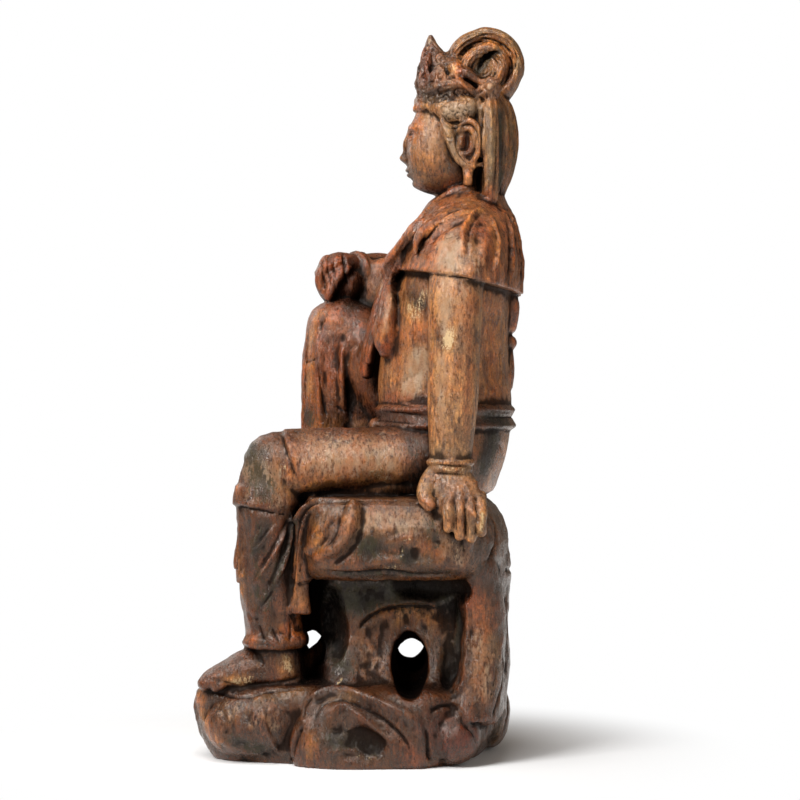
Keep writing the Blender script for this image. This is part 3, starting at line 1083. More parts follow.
def carve_head(s):
    for line, *cut in HEAD_LINES.values():
        s.both(s.seen(line), *cut)
    for place, radius in CROWN_RINGS.values():
        s.both(s.seen(circle(place, radius)), 1.1, 1.5, taper=(0, 0))
    for place, radius in LOCK_CURLS + CROWN_CURLS:
        s.both(s.seen(circle(place, radius, 40, 300)), 1.1, 2.2, taper=(0.2, 0.2))
    for place, reach, depth in HEAD_HOLLOWS:
        middle = s.seen([place])[0][0]
        for m in (1, -1):
            s.press(middle * [m, 1, 1], reach, (-m * depth, 0, 0))
    for k in range(8):
        a = np.radians(45 * k + 10)
        spoke = [(FLOWER[0] + r * np.cos(a), FLOWER[1] + r * np.sin(a)) for r in (6.5, 12)]
        s.both(s.seen(spoke), 1.2, 1.8, taper=(0.3, 0))
    # fine strands follow the head down and back, and run round the loop of hair on top
    hair = s.part("hair")
    x, y, z = s.at.T
    nape_y, strands, strand_depth = 140, 40, 0.9
    waves = np.cos(np.arctan2(x, y - nape_y) * strands + 1.8 * noise(s.at * [1, 1, 0.2], 16, 3))
    low = ease((812 - z) / 10) * ease((y - nape_y) / 12)
    s.raise_by(hair * low * strand_depth * (waves * (1 + 0.6 * noise(s.at * [1, 1, 0.3], 10, 4))))
    loop_y, loop_z, strand_gap, loop_depth = 160, 846, 4.2, 0.6
    reach = np.hypot(y - loop_y, z - loop_z)
    waves = np.cos(reach * 2 * np.pi / strand_gap + noise(s.at, 20, 5))
    s.raise_by(hair * ease((z - 824) / 8) * loop_depth * waves * (1 + 0.4 * noise(s.at, 9, 6)))


# The face is pressed into shape from in front: place in x and z from the head's middle, reach and push.
FACE_PRESSES = (
    ((17, 2), (11, 34, 7.5), (0, 6.5, 0)), ((17, -1), (9.5, 34, 5), (0, -5, 0)),
    ((13, 12), (9, 34, 4), (0, -2.4, 0)), ((25, 12), (9, 34, 4), (0, -2.4, 0)),
    ((31, -20), (16, 40, 16), (1.2, -1.5, 0)), ((0, -6), (5, 34, 15), (0, -5.5, 0)),
    ((0, -24), (6.2, 34, 6.5), (0, -8, 0)), ((6.5, -27), (3.6, 34, 3.6), (0.6, -3.4, 0)),
    ((0, -39), (11, 34, 3.4), (0, -4.2, 0)), ((0, -45.5), (8, 34, 3.4), (0, -4.4, 0)),
    ((0, -52), (10, 34, 3), (0, 1.6, 0)), ((0, -60), (12, 34, 8), (0, -6, 0)),
)

# Lines on one half of the face, cut on both.
FACE_PAIRS = (
    ([(7, -2), (12, 0.5), (18, 1), (24, -0.5), (28, -3)], 1.1, 1.9, groove),
    ([(8, -3), (13, -4.5), (19, -4.8), (25, -3.8), (28, -3)], 1.0, 1.1, groove),
    ([(8, 5), (14, 8), (21, 8), (28, 5), (32, 1)], 1.3, 1.5, groove),
    ([(5, 9), (10, 14.5), (18, 17), (27, 15), (34, 10)], 1.6, 1.3, ridge),
    ([(3.6, -2), (4, -12), (6, -21), (9.5, -26)], 2.2, 1.0, groove),
    ([(2.5, -29.5), (5, -30.5), (8, -29.5)], 1.1, 1.8, groove),
    ([(9.5, -22), (10.5, -27), (9, -30)], 1.1, 1.2, groove),
    ([(11, -31), (15, -37), (17, -44)], 2.6, 0.8, groove),
)

# Lines across the middle of the face.
FACE_MIDDLES = (
    ([(-12, -40.5), (-6, -41.6), (0, -42.4), (6, -41.6), (12, -40.5)], 1.1, 2.6, LINE_TAPER),
    ([(0, -32), (0, -36)], 1.6, 1.0, (0, 0)),
    ([(-7, -49), (0, -50), (7, -49)], 1.6, 1.2, LINE_TAPER),
)


def carve_face(s):
    y, z = HEAD["y"] - HEAD["deep"], HEAD["z"]
    for (x, lift), reach, (aside, back, up) in FACE_PRESSES:
        for m in (1, -1) if x else (1,):
            s.press((m * x, y, z + lift), reach, (m * aside, back, up))
    s.write()
    s.retree()
    ahead = (0, 1, 0)
    for points, width, height, kind in FACE_PAIRS:
        for m in (1, -1):
            s.stroke(s.cast([(m * a, y, z + b) for a, b in points], ahead), width, height, kind, (0.3, 0.3))
    for points, width, height, taper in FACE_MIDDLES:
        s.stroke(s.cast([(a, y, z + b) for a, b in points], ahead), width, height, groove, taper)
    # a row of small curls along the hairline
    curl = 4.2
    for k in range(-5, 6):
        a = k * 0.22
        place = (46 * np.sin(a), 124 - 50 * np.cos(a), 800)
        s.press(place, (curl, curl, curl), (2.4 * np.sin(a), -2.4 * np.cos(a), 0))


def carve_cape(s):
    for line, *cut in CAPE_LINES.values():
        s.both(s.seen(line), *cut)
    # the folds behind fan out from the nape
    for x0, x1 in ((6, 10), (16, 44), (26, 78), (34, 108)):
        for m in (1, -1):
            points = [(m * x0, 190, 684), (m * (x0 + 0.35 * (x1 - x0)), 200, 650),
                      (m * (x0 + 0.75 * (x1 - x0)), 200, 606), (m * x1, 200, 568)]
            for shift, width, height, kind in ((0, 3.0, 2.4, ridge), (7, 3.2, 2.2, groove)):
                shifted = [(a + m * shift, b, c) for a, b, c in points]
                s.stroke(s.cast(shifted, (0, -1, 0)), width, height, kind)


# What the photograph doesn't show is carved in keeping and plainer. Points are in y and z on the far side,
# and in x and z on the back and front.
SIDE_LINES = (
    ([(-150, 40), (-120, 64), (-70, 70), (-20, 50), (0, 10)], 3.4, 3.4, ridge),
    ([(20, 60), (34, 30), (40, 4)], 3.0, 5.0),
    ([(60, 62), (100, 70), (140, 50)], 3.0, 3.0, ridge),
    ([(118, 214), (112, 170), (118, 120)], 3.0, 2.6, ridge),
    ([(-60, 300), (-40, 282), (-30, 244)], 2.6, 3.0, fold),
    ([(104, 306), (110, 280), (100, 240)], 2.6, 3.0, fold),
    ([(-70, 240), (40, 238), (130, 242)], 2.2, 2.2),
    ([(-58, 520), (-62, 470), (-54, 400)], 2.6, 3.0),
    ([(-10, 500), (4, 440), (22, 380)], 2.8, 3.0),
    ([(40, 470), (60, 420), (84, 380)], 2.8, 3.0),
    ([(60, 350), (120, 350), (170, 370)], 3.0, 2.4),
    ([(100, 366), (140, 380), (180, 392)], 2.4, 1.8, ridge),
)

BACK_LINES = (
    ([(0, 560), (1, 480), (0, 440)], 1.6, 1.2),
    ([(-60, 540), (-58, 480), (-62, 440)], 1.2, 0.9),
    ([(44, 556), (46, 500), (42, 446)], 1.2, 0.9),
    ([(-90, 415), (0, 415), (90, 415)], 1.4, 2.4),
    ([(-70, 388), (-30, 372), (0, 340)], 3.2, 2.0),
    ([(70, 388), (34, 370), (6, 336)], 3.2, 2.0),
    ([(-90, 230), (0, 226), (90, 230)], 3.0, 3.0),
    ([(-60, 210), (-74, 150), (-66, 80)], 3.2, 3.0, ridge),
    ([(50, 206), (66, 150), (54, 70)], 3.2, 3.0, ridge),
    ([(-40, 60), (-20, 74), (10, 70), (30, 40), (34, 6)], 3.0, 3.4),
)

FRONT_LINES = (
    ([(10, 300), (4, 250), (8, 190)], 2.4, 2.4),
    ([(-24, 310), (-30, 250), (-28, 186)], 2.4, 2.4),
    ([(100, 300), (96, 240), (98, 180)], 2.6, 2.6, fold),
    ([(72, 300), (66, 240), (72, 170)], 2.6, 2.6, fold),
    ([(-110, 520), (-104, 450), (-98, 380)], 2.6, 2.6, fold),
    ([(-80, 520), (-76, 450), (-74, 380)], 2.6, 2.6),
    ([(-90, 300), (-84, 270), (-86, 240)], 2.4, 2.4),
    ([(-120, 296), (-122, 262), (-120, 240)], 2.4, 2.4),
    ([(0, 70), (-8, 40), (-4, 4)], 3.0, 5.0),
    ([(60, 74), (66, 44), (54, 20)], 3.2, 3.2, ridge),
    ([(-70, 74), (-88, 44), (-80, 10)], 3.2, 3.2, ridge),
    ([(-60, 590), (-40, 570), (-10, 548)], 2.0, 2.0),
)


def carve_hidden(s):
    for points, *cut in SIDE_LINES:
        s.stroke(s.cast([(-200, y, z) for y, z in points], (1, 0, 0)), *cut)
    for lines, y, way in ((BACK_LINES, 300, (0, -1, 0)), (FRONT_LINES, -300, (0, 1, 0))):
        for points, *cut in lines:
            s.stroke(s.cast([(x, y, z) for x, z in points], way), *cut)


def weather(s):
    """The unevenness of hand carving and age: lumps on the rock, long chisel marks, dents and cracks."""
    calm = 1 - 0.75 * s.part("head")
    s.raise_by(calm * (0.5 * noise(s.at, 26, 11) + 0.25 * noise(s.at, 9, 12)))
    s.raise_by(s.part("rock") * (1.6 * noise(s.at, 40, 13) + 0.9 * creased(s.at, 24, 14)
                                 + 0.7 * creased(s.at, 11, 21) + 0.4 * noise(s.at * [1, 1, 0.3], 6, 15)))
    cloth = s.part("left_leg") + s.part("seat") + s.part("right_leg") + s.part("cape") + s.part("lap")
    s.raise_by(cloth * (0.5 * noise(s.at * [1, 1, 0.5], 7, 16) + 0.5 * creased(s.at, 13, 19)))
    s.raise_by(s.part("seat") * (0.9 * noise(s.at * [1, 1, 1.4], 16, 22) + 0.5 * noise(s.at, 6, 23)))
    s.raise_by((calm - 0.2) * 0.22 * noise(s.at * [1, 1, 0.25], 4.4, 20))
    pits = np.clip(noise(s.at, 4.5, 17) - 0.62, 0, 1) * 3.2
    s.raise_by(-calm * pits * (0.5 + 0.5 * noise(s.at, 60, 18)))
    s.grounded()


# How deep the lines of each place are cut, against their heights above.
LINE_GAINS = ((CHEST_LINES, 1), (LEG_LINES, 1.2), (FAR_LEG_LINES, 1), (LEDGE_LINES, 1.1), (HAND_LINES, 1),
              (ROCK_LINES, 1.3))


def carved(s):
    carve_face(s)
    carve_head(s)
    carve_cape(s)
    for lines, gain in LINE_GAINS:
        for line, width, height, *kind in lines.values():
            s.stroke(s.seen(line), width, gain * height, *kind)
    carve_hidden(s)
    weather(s)


# Paint

def linear(code):
    """A colour written as an sRGB hex code, in the linear values that Blender's sockets take."""
    values = [int(code[k:k + 2], 16) / 255 for k in (0, 2, 4)]
    return tuple(v / 12.92 if v <= 0.04045 else ((v + 0.055) / 1.055) ** 2.4 for v in values)


PALETTE = {
    "umber": "38241a", "chestnut": "74462f", "russet": "7f482d", "ochre": "9b7340", "honey": "b0743a",
    "tan": "b48a5e", "rose": "926c4e", "lilac": "a38a70", "silver": "857f74", "olive": "735c38",
    "slate": "26221f", "moss": "302e20", "plum": "5c433e", "sand": "c9ab7e", "oxblood": "421c14",
    "cream": "cdb48a", "rust_tone": "8c4b2a", "varnish": "f0d6b0",
}

GROUND = {
    "rock": "472d1a", "seat": "563e29", "torso": "9f7e62", "belt": "4e2f1c", "cape": "825b40",
    "left_arm": "917d6c", "right_arm": "6c4228", "left_leg": "53351f", "right_leg": "7a4b29", "lap": "5f4229",
    "knot": "7c4b2a", "head": "67523c", "hair": "866a4a", "crown": "402b1f",
}

# Where colours and remains of paint lie: what, pixels along the patch, radius in pixels, strength.
PATCHES = {
    "cheek": ("lilac", [(430, 118), (431, 138), (429, 152)], 9, 0.75),
    "brow": ("honey", [(418, 112), (412, 135)], 9, 0.6),
    "jaw": ("russet", [(424, 190), (444, 190), (458, 180)], 7, 0.7),
    "upper_lock": ("silver", [(446, 112), (458, 111), (470, 105)], 7, 0.95),
    "upper_lock_gilt": ("sand", [(459, 104), (467, 102)], 4, 0.6),
    "temple": ("silver", [(447, 129), (450, 138)], 5, 0.95),
    "strip": ("silver", [(451, 146), (458, 160), (472, 167)], 4.5, 0.85),
    "ear": ("tan", [(470, 126), (479, 145), (470, 160)], 6, 0.6),
    "ear_hollow": ("russet", [(466, 138), (468, 148)], 4, 0.8),
    "pendant": ("rose", [(469, 172), (469, 184)], 5, 0.8),
    "ribbon": ("silver", [(491, 112), (491, 140), (491, 180)], 4.5, 0.9),
    "ribbon_end": ("russet", [(489, 192), (489, 200)], 6, 0.8),
    "hair_front_dark": ("slate", [(500, 112), (501, 150), (499, 186)], 4.5, 0.75),
    "hair_back": ("olive", [(511, 125), (515, 150), (508, 178)], 7, 0.6),
    "hair_low": ("russet", [(508, 180), (502, 190)], 6, 0.6),
    "under_ribbon": ("moss", [(470, 112), (479, 112)], 4, 0.6),
    "loop": ("tan", [(460, 60), (476, 46), (498, 42), (509, 58), (500, 76)], 8, 0.6),
    "loop_rim": ("silver", [(470, 37), (490, 30), (508, 36), (519, 52), (517, 70)], 3.5, 0.8),
    "loop_gap": ("slate", [(476, 82), (478, 70), (486, 57), (499, 52)], 3.5, 0.95),
    "crown_upper": ("rose", [(440, 58)], 6, 0.5),
    "crown_lower": ("rose", [(441, 76), (452, 82), (460, 86)], 7, 0.7),
    "crown_front": ("russet", [(428, 44), (426, 62), (425, 76)], 7, 0.5),
    "pearl": ("sand", [(453, 69)], 5, 0.9),
    "pearl_rim": ("honey", [(460, 66), (457, 77)], 4, 0.7),
    "flower": ("rose", [(485, 86), (492, 87)], 10, 0.95),
    "band": ("moss", [(424, 97), (440, 99), (452, 93)], 5, 0.5),
    "collar": ("rose", [(468, 198), (480, 196)], 7, 0.5),
    "shawl_red": ("russet", [(432, 236), (438, 246), (434, 256)], 8, 0.6),
    "shawl_red_arch": ("russet", [(482, 222), (478, 232)], 8, 0.6),
    "shawl_lilac": ("lilac", [(449, 244), (447, 258), (455, 270)], 10, 0.75),
    "shawl_lilac_b": ("lilac", [(474, 242), (474, 258)], 6, 0.5),
    "pale_fold": ("tan", [(482, 210), (455, 215), (435, 226), (424, 240)], 2.6, 0.8),
    "teardrop": ("tan", [(470, 218), (463, 230), (463, 250)], 2.4, 0.7),
    "back_fold": ("tan", [(494, 224), (498, 243), (496, 262)], 2.4, 0.7),
    "border": ("rose", [(470, 203), (436, 216), (412, 238), (396, 262)], 3, 0.5),
    "arm_front": ("ochre", [(433, 285), (433, 340), (430, 400), (429, 450)], 5, 0.7),
    "arm_streak": ("lilac", [(446, 284), (447, 310), (445, 334)], 3.6, 0.9),
    "arm_mid": ("rose", [(462, 290), (464, 320), (462, 345)], 8, 0.5),
    "arm_flake": ("sand", [(447, 338), (451, 332), (448, 346)], 5, 0.9),
    "arm_low": ("lilac", [(441, 362), (441, 390), (440, 420)], 4, 0.7),
    "arm_back": ("chestnut", [(472, 300), (468, 380), (466, 440)], 5, 0.5),
    "side_cream": ("sand", [(410, 308), (416, 316)], 4, 0.5),
    "side_dark": ("umber", [(410, 296), (422, 302)], 8, 0.7),
    "side_rust": ("honey", [(424, 318), (418, 330)], 8, 0.5),
    "belly": ("lilac", [(420, 358), (412, 380), (404, 390)], 9, 0.9),
    "belly_low": ("russet", [(384, 398), (410, 400), (424, 402)], 7, 0.6),
    "near_tail": ("russet", [(388, 345), (398, 335)], 10, 0.6),
    "near_tail_light": ("tan", [(392, 296), (386, 320), (381, 340)], 3, 0.6),
    "back": ("honey", [(492, 310), (492, 350), (492, 390)], 10, 0.65),
    "back_edge": ("umber", [(506, 310), (509, 350)], 5, 0.6),
    "belt_rear": ("slate", [(488, 418), (500, 418), (506, 425)], 6, 0.7),
    "hip": ("umber", [(494, 436), (488, 456), (478, 472)], 17, 0.92),
    "thigh_top": ("ochre", [(290, 432), (330, 427), (380, 428)], 8, 0.7),
    "thigh_rose": ("rose", [(310, 455), (340, 460), (390, 460)], 18, 0.85),
    "thigh_hip": ("plum", [(412, 430), (416, 460), (418, 485)], 9, 0.6),
    "thigh_under": ("ochre", [(306, 484), (330, 486)], 7, 0.5),
    "thigh_orange": ("rust_tone", [(340, 487), (358, 487)], 6, 0.5),
    "knee_front": ("ochre", [(240, 462), (236, 490)], 5, 0.5),
    "knee_dark": ("moss", [(250, 448), (252, 462), (262, 452)], 9, 0.85),
    "knee_tan": ("tan", [(284, 470), (286, 492)], 8, 0.6),
    "shin_front": ("ochre", [(235, 530), (240, 570), (243, 610)], 6, 0.6),
    "shin_slate_a": ("slate", [(264, 525), (254, 550)], 7, 0.65),
    "shin_slate_b": ("umber", [(292, 520), (284, 555), (272, 590)], 6, 0.7),
    "shin_slate_c": ("umber", [(258, 590), (272, 610), (262, 622)], 7, 0.7),
    "shin_plum": ("rose", [(296, 560), (298, 595), (301, 606)], 5, 0.7),
    "hem_gold": ("honey", [(286, 632), (296, 628), (300, 620)], 6, 0.8),
    "hem_front": ("honey", [(248, 634), (252, 640)], 5, 0.5),
    "hem_dark": ("slate", [(270, 632), (262, 640)], 5, 0.7),
    "far_shin": ("ochre", [(316, 316), (309, 345), (310, 395)], 7, 0.9),
    "far_knee": ("chestnut", [(328, 330), (330, 370)], 10, 0.5),
    "far_dark": ("slate", [(350, 306), (372, 302)], 8, 0.6),
    "far_dark_b": ("umber", [(352, 330), (358, 350), (346, 370)], 8, 0.35),
    "far_rose": ("rose", [(345, 395), (352, 405)], 8, 0.5),
    "hand_red": ("russet", [(326, 262), (334, 280)], 9, 0.5),
    "ledge_left": ("ochre", [(320, 530), (316, 552)], 8, 0.6),
    "ledge_rose": ("rose", [(348, 520), (372, 518), (424, 524)], 11, 0.6),
    "ledge_moss": ("moss", [(366, 546), (374, 549)], 8, 0.95),
    "ledge_moss_b": ("moss", [(404, 556), (412, 558)], 6, 0.9),
    "ledge_moss_c": ("moss", [(430, 528), (436, 545), (424, 570)], 6, 0.6),
    "ledge_low": ("umber", [(330, 572), (380, 574), (440, 572)], 4, 0.7),
    "ledge_orange": ("honey", [(425, 545), (440, 552)], 6, 0.5),
    "thumb": ("russet", [(424, 500), (432, 505)], 6, 0.5),
    "hand_back": ("chestnut", [(452, 490), (464, 505)], 13, 0.35),
    "thigh_low": ("tan", [(305, 478), (350, 480), (396, 478)], 8, 0.6),
    "finger_bare": ("sand", [(482.5, 512), (481.5, 532)], 1.7, 0.9),
    "recess": ("slate", [(330, 590), (352, 606), (400, 590), (450, 592)], 13, 0.95),
    "recess_low": ("umber", [(334, 630), (340, 668)], 16, 0.9),
    "recess_left": ("umber", [(320, 600), (318, 618)], 9, 0.9),
    "boss": ("tan", [(388, 612), (420, 612), (438, 622)], 9, 0.75),
    "boss_rose": ("rose", [(366, 640), (370, 670), (372, 686)], 12, 0.6),
    "hollow": ("slate", [(452, 600), (460, 630), (454, 672)], 7, 0.75),
    "hollow_grey": ("silver", [(449, 640), (446, 668)], 5, 0.35),
    "pillar": ("rose", [(478, 610), (484, 650), (480, 690)], 11, 0.6),
    "pillar_top": ("russet", [(470, 596), (478, 620)], 8, 0.5),
    "pillar_dark": ("umber", [(490, 560), (494, 580)], 10, 0.6),
    "pillar_grey": ("silver", [(494, 640), (500, 670)], 5, 0.4),
    "pillar_back": ("olive", [(505, 700), (500, 730), (488, 748)], 6, 0.6),
    "tunnel": ("umber", [(410, 668)], 18, 0.8),
    "stalk": ("tan", [(308, 660), (322, 645)], 6, 0.9),
    "block_left": ("ochre", [(199, 690), (202, 715), (214, 742)], 7, 0.7),
    "block_grey": ("olive", [(222, 706), (232, 716)], 6, 0.4),
    "block_dark": ("slate", [(240, 740), (262, 748)], 7, 0.6),
    "block_shelf": ("olive", [(260, 700), (300, 690)], 6, 0.5),
    "toe_gold": ("sand", [(228, 681), (246, 680)], 4, 0.5),
    "foot": ("umber", [(252, 660), (270, 668), (230, 668)], 10, 0.45),
    "heel_flake": ("sand", [(285, 660), (287, 672)], 5, 0.6),
    "middle_slate": ("slate", [(330, 740), (350, 736), (372, 750)], 7, 0.75),
    "middle_left": ("ochre", [(314, 735), (310, 752)], 5, 0.5),
    "middle_top": ("olive", [(334, 700), (350, 698)], 6, 0.45),
    "middle_right": ("chestnut", [(408, 748), (416, 762)], 6, 0.5),
    "lump": ("oxblood", [(440, 730), (452, 745), (470, 735)], 15, 0.95),
    "lump_light": ("russet", [(447, 719)], 4, 0.5),
}

REMAINS = {
    "dust": {
        "cheek": ([(430, 122), (430, 148)], 8, 0.4), "lock": ([(446, 113), (468, 107)], 8, 0.6),
        "strip": ([(452, 148), (462, 164)], 5, 0.5), "flower": ([(489, 87)], 12, 0.4),
        "crown": ([(440, 60), (446, 80)], 9, 0.35), "shawl": ([(449, 246), (450, 262)], 12, 0.75),
        "shawl_rear": ([(474, 248), (478, 268)], 9, 0.4), "arm": ([(446, 284), (446, 334)], 5, 0.7),
        "arm_wide": ([(462, 292), (460, 345)], 10, 0.4), "arm_low": ([(442, 360), (440, 430)], 6, 0.6),
        "belly": ([(420, 360), (410, 386)], 10, 0.9), "thigh": ([(318, 455), (380, 458)], 22, 0.55),
        "knee": ([(252, 468), (268, 478)], 13, 0.75), "knee_low": ([(250, 492), (282, 502)], 8, 0.4),
        "ledge": ([(365, 522), (430, 522)], 13, 0.5), "ledge_low": ([(440, 545), (462, 556)], 10, 0.4),
        "pillar": ([(480, 640), (486, 690)], 13, 0.4), "block": ([(224, 708), (272, 720)], 14, 0.3),
        "tail": ([(392, 296), (384, 330)], 5, 0.5), "boss": ([(372, 650), (380, 684)], 12, 0.3),
        "middle": ([(345, 738), (372, 748)], 11, 0.35), "foot": ([(262, 660)], 10, 0.3),
    },
    "dark": {
        "knee": ([(248, 448), (256, 470), (264, 490)], 13, 0.62),
        "shin": ([(262, 528), (256, 560), (262, 612)], 10, 0.5),
        "sweep": ([(294, 520), (284, 556), (268, 596)], 7, 0.55), "ledge": ([(369, 548)], 11, 0.75),
        "ledge_b": ([(408, 557)], 8, 0.7), "ledge_c": ([(430, 524), (434, 548)], 7, 0.5),
        "ledge_under": ([(340, 574), (460, 572)], 5, 0.5), "recess": ([(330, 596), (440, 590)], 16, 0.8),
        "recess_low": ([(330, 630), (343, 666)], 13, 0.6),
        "hollow": ([(456, 604), (460, 640), (452, 676)], 8, 0.6),
        "block": ([(236, 742), (264, 750)], 9, 0.55), "middle": ([(332, 740), (376, 750)], 10, 0.55),
        "belt": ([(488, 418), (508, 422)], 7, 0.6), "loop": ([(478, 72), (490, 56)], 4, 0.6),
        "far": ([(350, 306), (374, 304)], 7, 0.45), "far_b": ([(354, 336), (346, 372)], 7, 0.3),
        "hip": ([(412, 440), (418, 480)], 8, 0.45), "hip_rear": ([(494, 438), (486, 464)], 12, 0.75),
        "side": ([(412, 298), (424, 306)], 7, 0.5),
        "hair": ([(500, 116), (500, 184)], 5, 0.55), "hair_b": ([(512, 128), (514, 170)], 7, 0.42),
        "pillar_back": ([(506, 700), (494, 738)], 7, 0.5),
    },
    "rust": {
        "thigh": ([(338, 487), (360, 486)], 8, 0.55), "shin": ([(262, 560), (256, 575)], 9, 0.5),
        "shin_low": ([(270, 575), (276, 600), (288, 612)], 10, 0.4),
        "side": ([(416, 290), (424, 322)], 9, 0.4),
        "belly": ([(388, 394), (416, 400)], 8, 0.5), "hip": ([(414, 462), (420, 476)], 7, 0.45),
        "jaw": ([(436, 172), (448, 176)], 9, 0.4), "ledge": ([(345, 540), (330, 560), (438, 548)], 9, 0.4),
        "boss": ([(430, 612), (440, 630)], 8, 0.4), "base": ([(308, 742), (316, 752)], 7, 0.5),
        "block": ([(258, 718), (262, 738)], 8, 0.4), "hem": ([(288, 628), (298, 624)], 8, 0.5),
        "pillar": ([(472, 598), (476, 620)], 7, 0.4), "hand": ([(330, 276), (340, 284)], 8, 0.35),
    },
    "cream": {
        "arm": ([(450, 334), (447, 344)], 6, 0.75), "side": ([(408, 306), (416, 318), (424, 292)], 6, 0.5),
        "thigh": ([(376, 472), (382, 478)], 8, 0.45), "thigh_b": ([(345, 456)], 10, 0.3),
        "knee": ([(282, 462), (284, 470)], 4, 0.45), "knee_b": ([(268, 506)], 3, 0.5),
        "toe": ([(234, 681), (250, 680)], 4, 0.6),
        "heel": ([(286, 660), (288, 670)], 5, 0.6),
        "scratch": ([(401, 556), (403, 546), (405, 540), (412, 540)], 0.75, 0.8),
        "chip": ([(336, 687), (342, 679)], 1.1, 0.9), "finger": ([(482.5, 513), (481.5, 531)], 1.5, 0.8),
        "base": ([(343, 757), (384, 758)], 2.2, 0.32), "hem": ([(292, 628)], 6, 0.35),
        "pearl": ([(453, 68)], 3.5, 0.5), "ledge": ([(455, 555), (462, 548)], 5, 0.35),
        "bangle": ([(440, 468), (462, 470)], 4, 0.4), "ledge_low": ([(386, 568), (398, 567)], 3, 0.5),
    },
}


def spread(s, pixels, radius, strength, far_share):
    """How much a patch covers each point, from 0 to 1, with a weaker one on the far side."""
    path = s.seen(pixels)
    for share, (points, normals) in ((strength, path), (far_share * strength, s.mirrored(path))):
        amount = np.zeros(len(s.at))
        ids, nearest = s.near(points, 2.5 * radius)
        d = np.linalg.norm(s.at[ids] - points[nearest], axis=1)
        same_way = (s.normal[ids] * normals[nearest]).sum(axis=1) > -0.3
        amount[ids] = share * np.exp(-(d / radius) ** 2) * same_way
        yield amount


def dressed(s, palette):
    """Colours, remains of paint, hollows, edges and shade as values at each point of the mesh."""
    tint = np.zeros((len(s.at), 3))
    weight = np.zeros(len(s.at))
    for name, code in GROUND.items():
        share = s.part(name)
        tint += share[:, None] * linear(code)
        weight += share
    tint /= np.maximum(weight, 1e-6)[:, None]
    for name, pixels, radius, strength in PATCHES.values():
        for amount in spread(s, pixels, 1.5 * radius, strength, 0.75):
            tint += amount[:, None] * (np.array(palette[name]) - tint)
    fields = {}
    for name, patches in REMAINS.items():
        total = np.zeros(len(s.at))
        for pixels, radius, strength in patches.values():
            for amount in spread(s, pixels, 1.7 * radius, strength, 0.8):
                total = np.maximum(total, amount)
        fields[name] = total
    # what the photograph doesn't show carries the same remains, scattered
    hidden = ease((40 - s.at[:, 0]) / 60) * (1 - s.part("head"))
    for name, size, seed, most in (("dust", 60, 31, 0.8), ("dark", 48, 32, 0.8), ("rust", 38, 33, 0.4),
                                   ("cream", 30, 34, 0.4)):
        scattered = np.clip(noise(s.at, size, seed) - 0.1, 0, 1) * most
        fields[name] = np.maximum(fields[name], hidden * scattered)
    # how far each point stands out from its surroundings, near by and farther off
    smooth = s.at
    rise = 0
    for steps, share in ((3, 1.15), (14, 0.5)):
        smooth = s.averaged(smooth, steps)
        rise = rise + share * ((s.at - smooth) * s.normal).sum(axis=1)
    fields["hollow"] = ease(np.clip(-rise - 0.1, 0, 3) / 2.0)
    fields["edge"] = ease(np.clip(rise - 0.2, 0, 3) / 2.2)
    fields["shade"] = shade(s, SHADE_RAYS)
    return tint, fields


def shade(s, rays, reach=SHADE_REACH, least=0.15):
    """How much of the space in front of each point is taken up by the carving itself."""
    k = np.arange(rays) + 0.5
    lift = np.arccos(1 - 2 * k / rays)
    turn = np.pi * (1 + 5 ** 0.5) * k
    ways = np.column_stack([np.cos(turn) * np.sin(lift), np.sin(turn) * np.sin(lift), np.cos(lift)])
    facing = s.normal @ ways.T
    ways = [Vector(w) for w in ways]
    starts = [Vector(p) for p in (s.at + s.normal * 1.2)]
    blocked = np.zeros(len(starts))
    for i, start in enumerate(starts):
        for j in np.flatnonzero(facing[i] > least):
            if s.tree.ray_cast(start, ways[j], reach)[0] is not None:
                blocked[i] += facing[i, j]
    total = np.where(facing > least, facing, 0).sum(axis=1)
    return s.averaged(blocked / np.maximum(total, 1e-6), 2)


class Graph:
    """The nodes of a material or a world, made one after another."""

    def __init__(self, owner):
        self.owner = owner
        owner.use_nodes = True
        self.tree = owner.node_tree
        self.tree.nodes.clear()

    def add(self, kind, inputs=None, output=0, **settings):
        node = self.tree.nodes.new("ShaderNode" + kind)
        for key, value in settings.items():
            setattr(node, key, value)
        for key, value in (inputs or {}).items():
            if isinstance(value, bpy.types.NodeSocket):
                self.tree.links.new(value, node.inputs[key])
            else:
                node.inputs[key].default_value = value
        return node.outputs[output] if len(node.outputs) else None

    def math(self, operation, a, b=0.0, c=0.0):
        return self.add("Math", {0: a, 1: b, 2: c}, operation=operation)

    def noise(self, where, scale, detail, roughness, distortion=0.0):
        return self.add("TexNoise", {
            "Vector": where, "Scale": scale, "Detail": detail, "Roughness": roughness,
            "Distortion": distortion})

    def band(self, value, low, high):
        """0 below low, 1 above high, smooth between; falls where high is below low."""
        return self.add("MapRange", {"Value": value, "From Min": low, "From Max": high},
                        interpolation_type="SMOOTHSTEP")

    def mix(self, amount, a, b, blend="MIX"):
        pick = {0: amount, 6: a if isinstance(a, bpy.types.NodeSocket) else (*a[:3], 1),
                7: b if isinstance(b, bpy.types.NodeSocket) else (*b[:3], 1)}
        return self.add("Mix", pick, output=2, data_type="RGBA", blend_type=blend)

    def field(self, name):
        return self.add("Attribute", output=2, attribute_name=name)


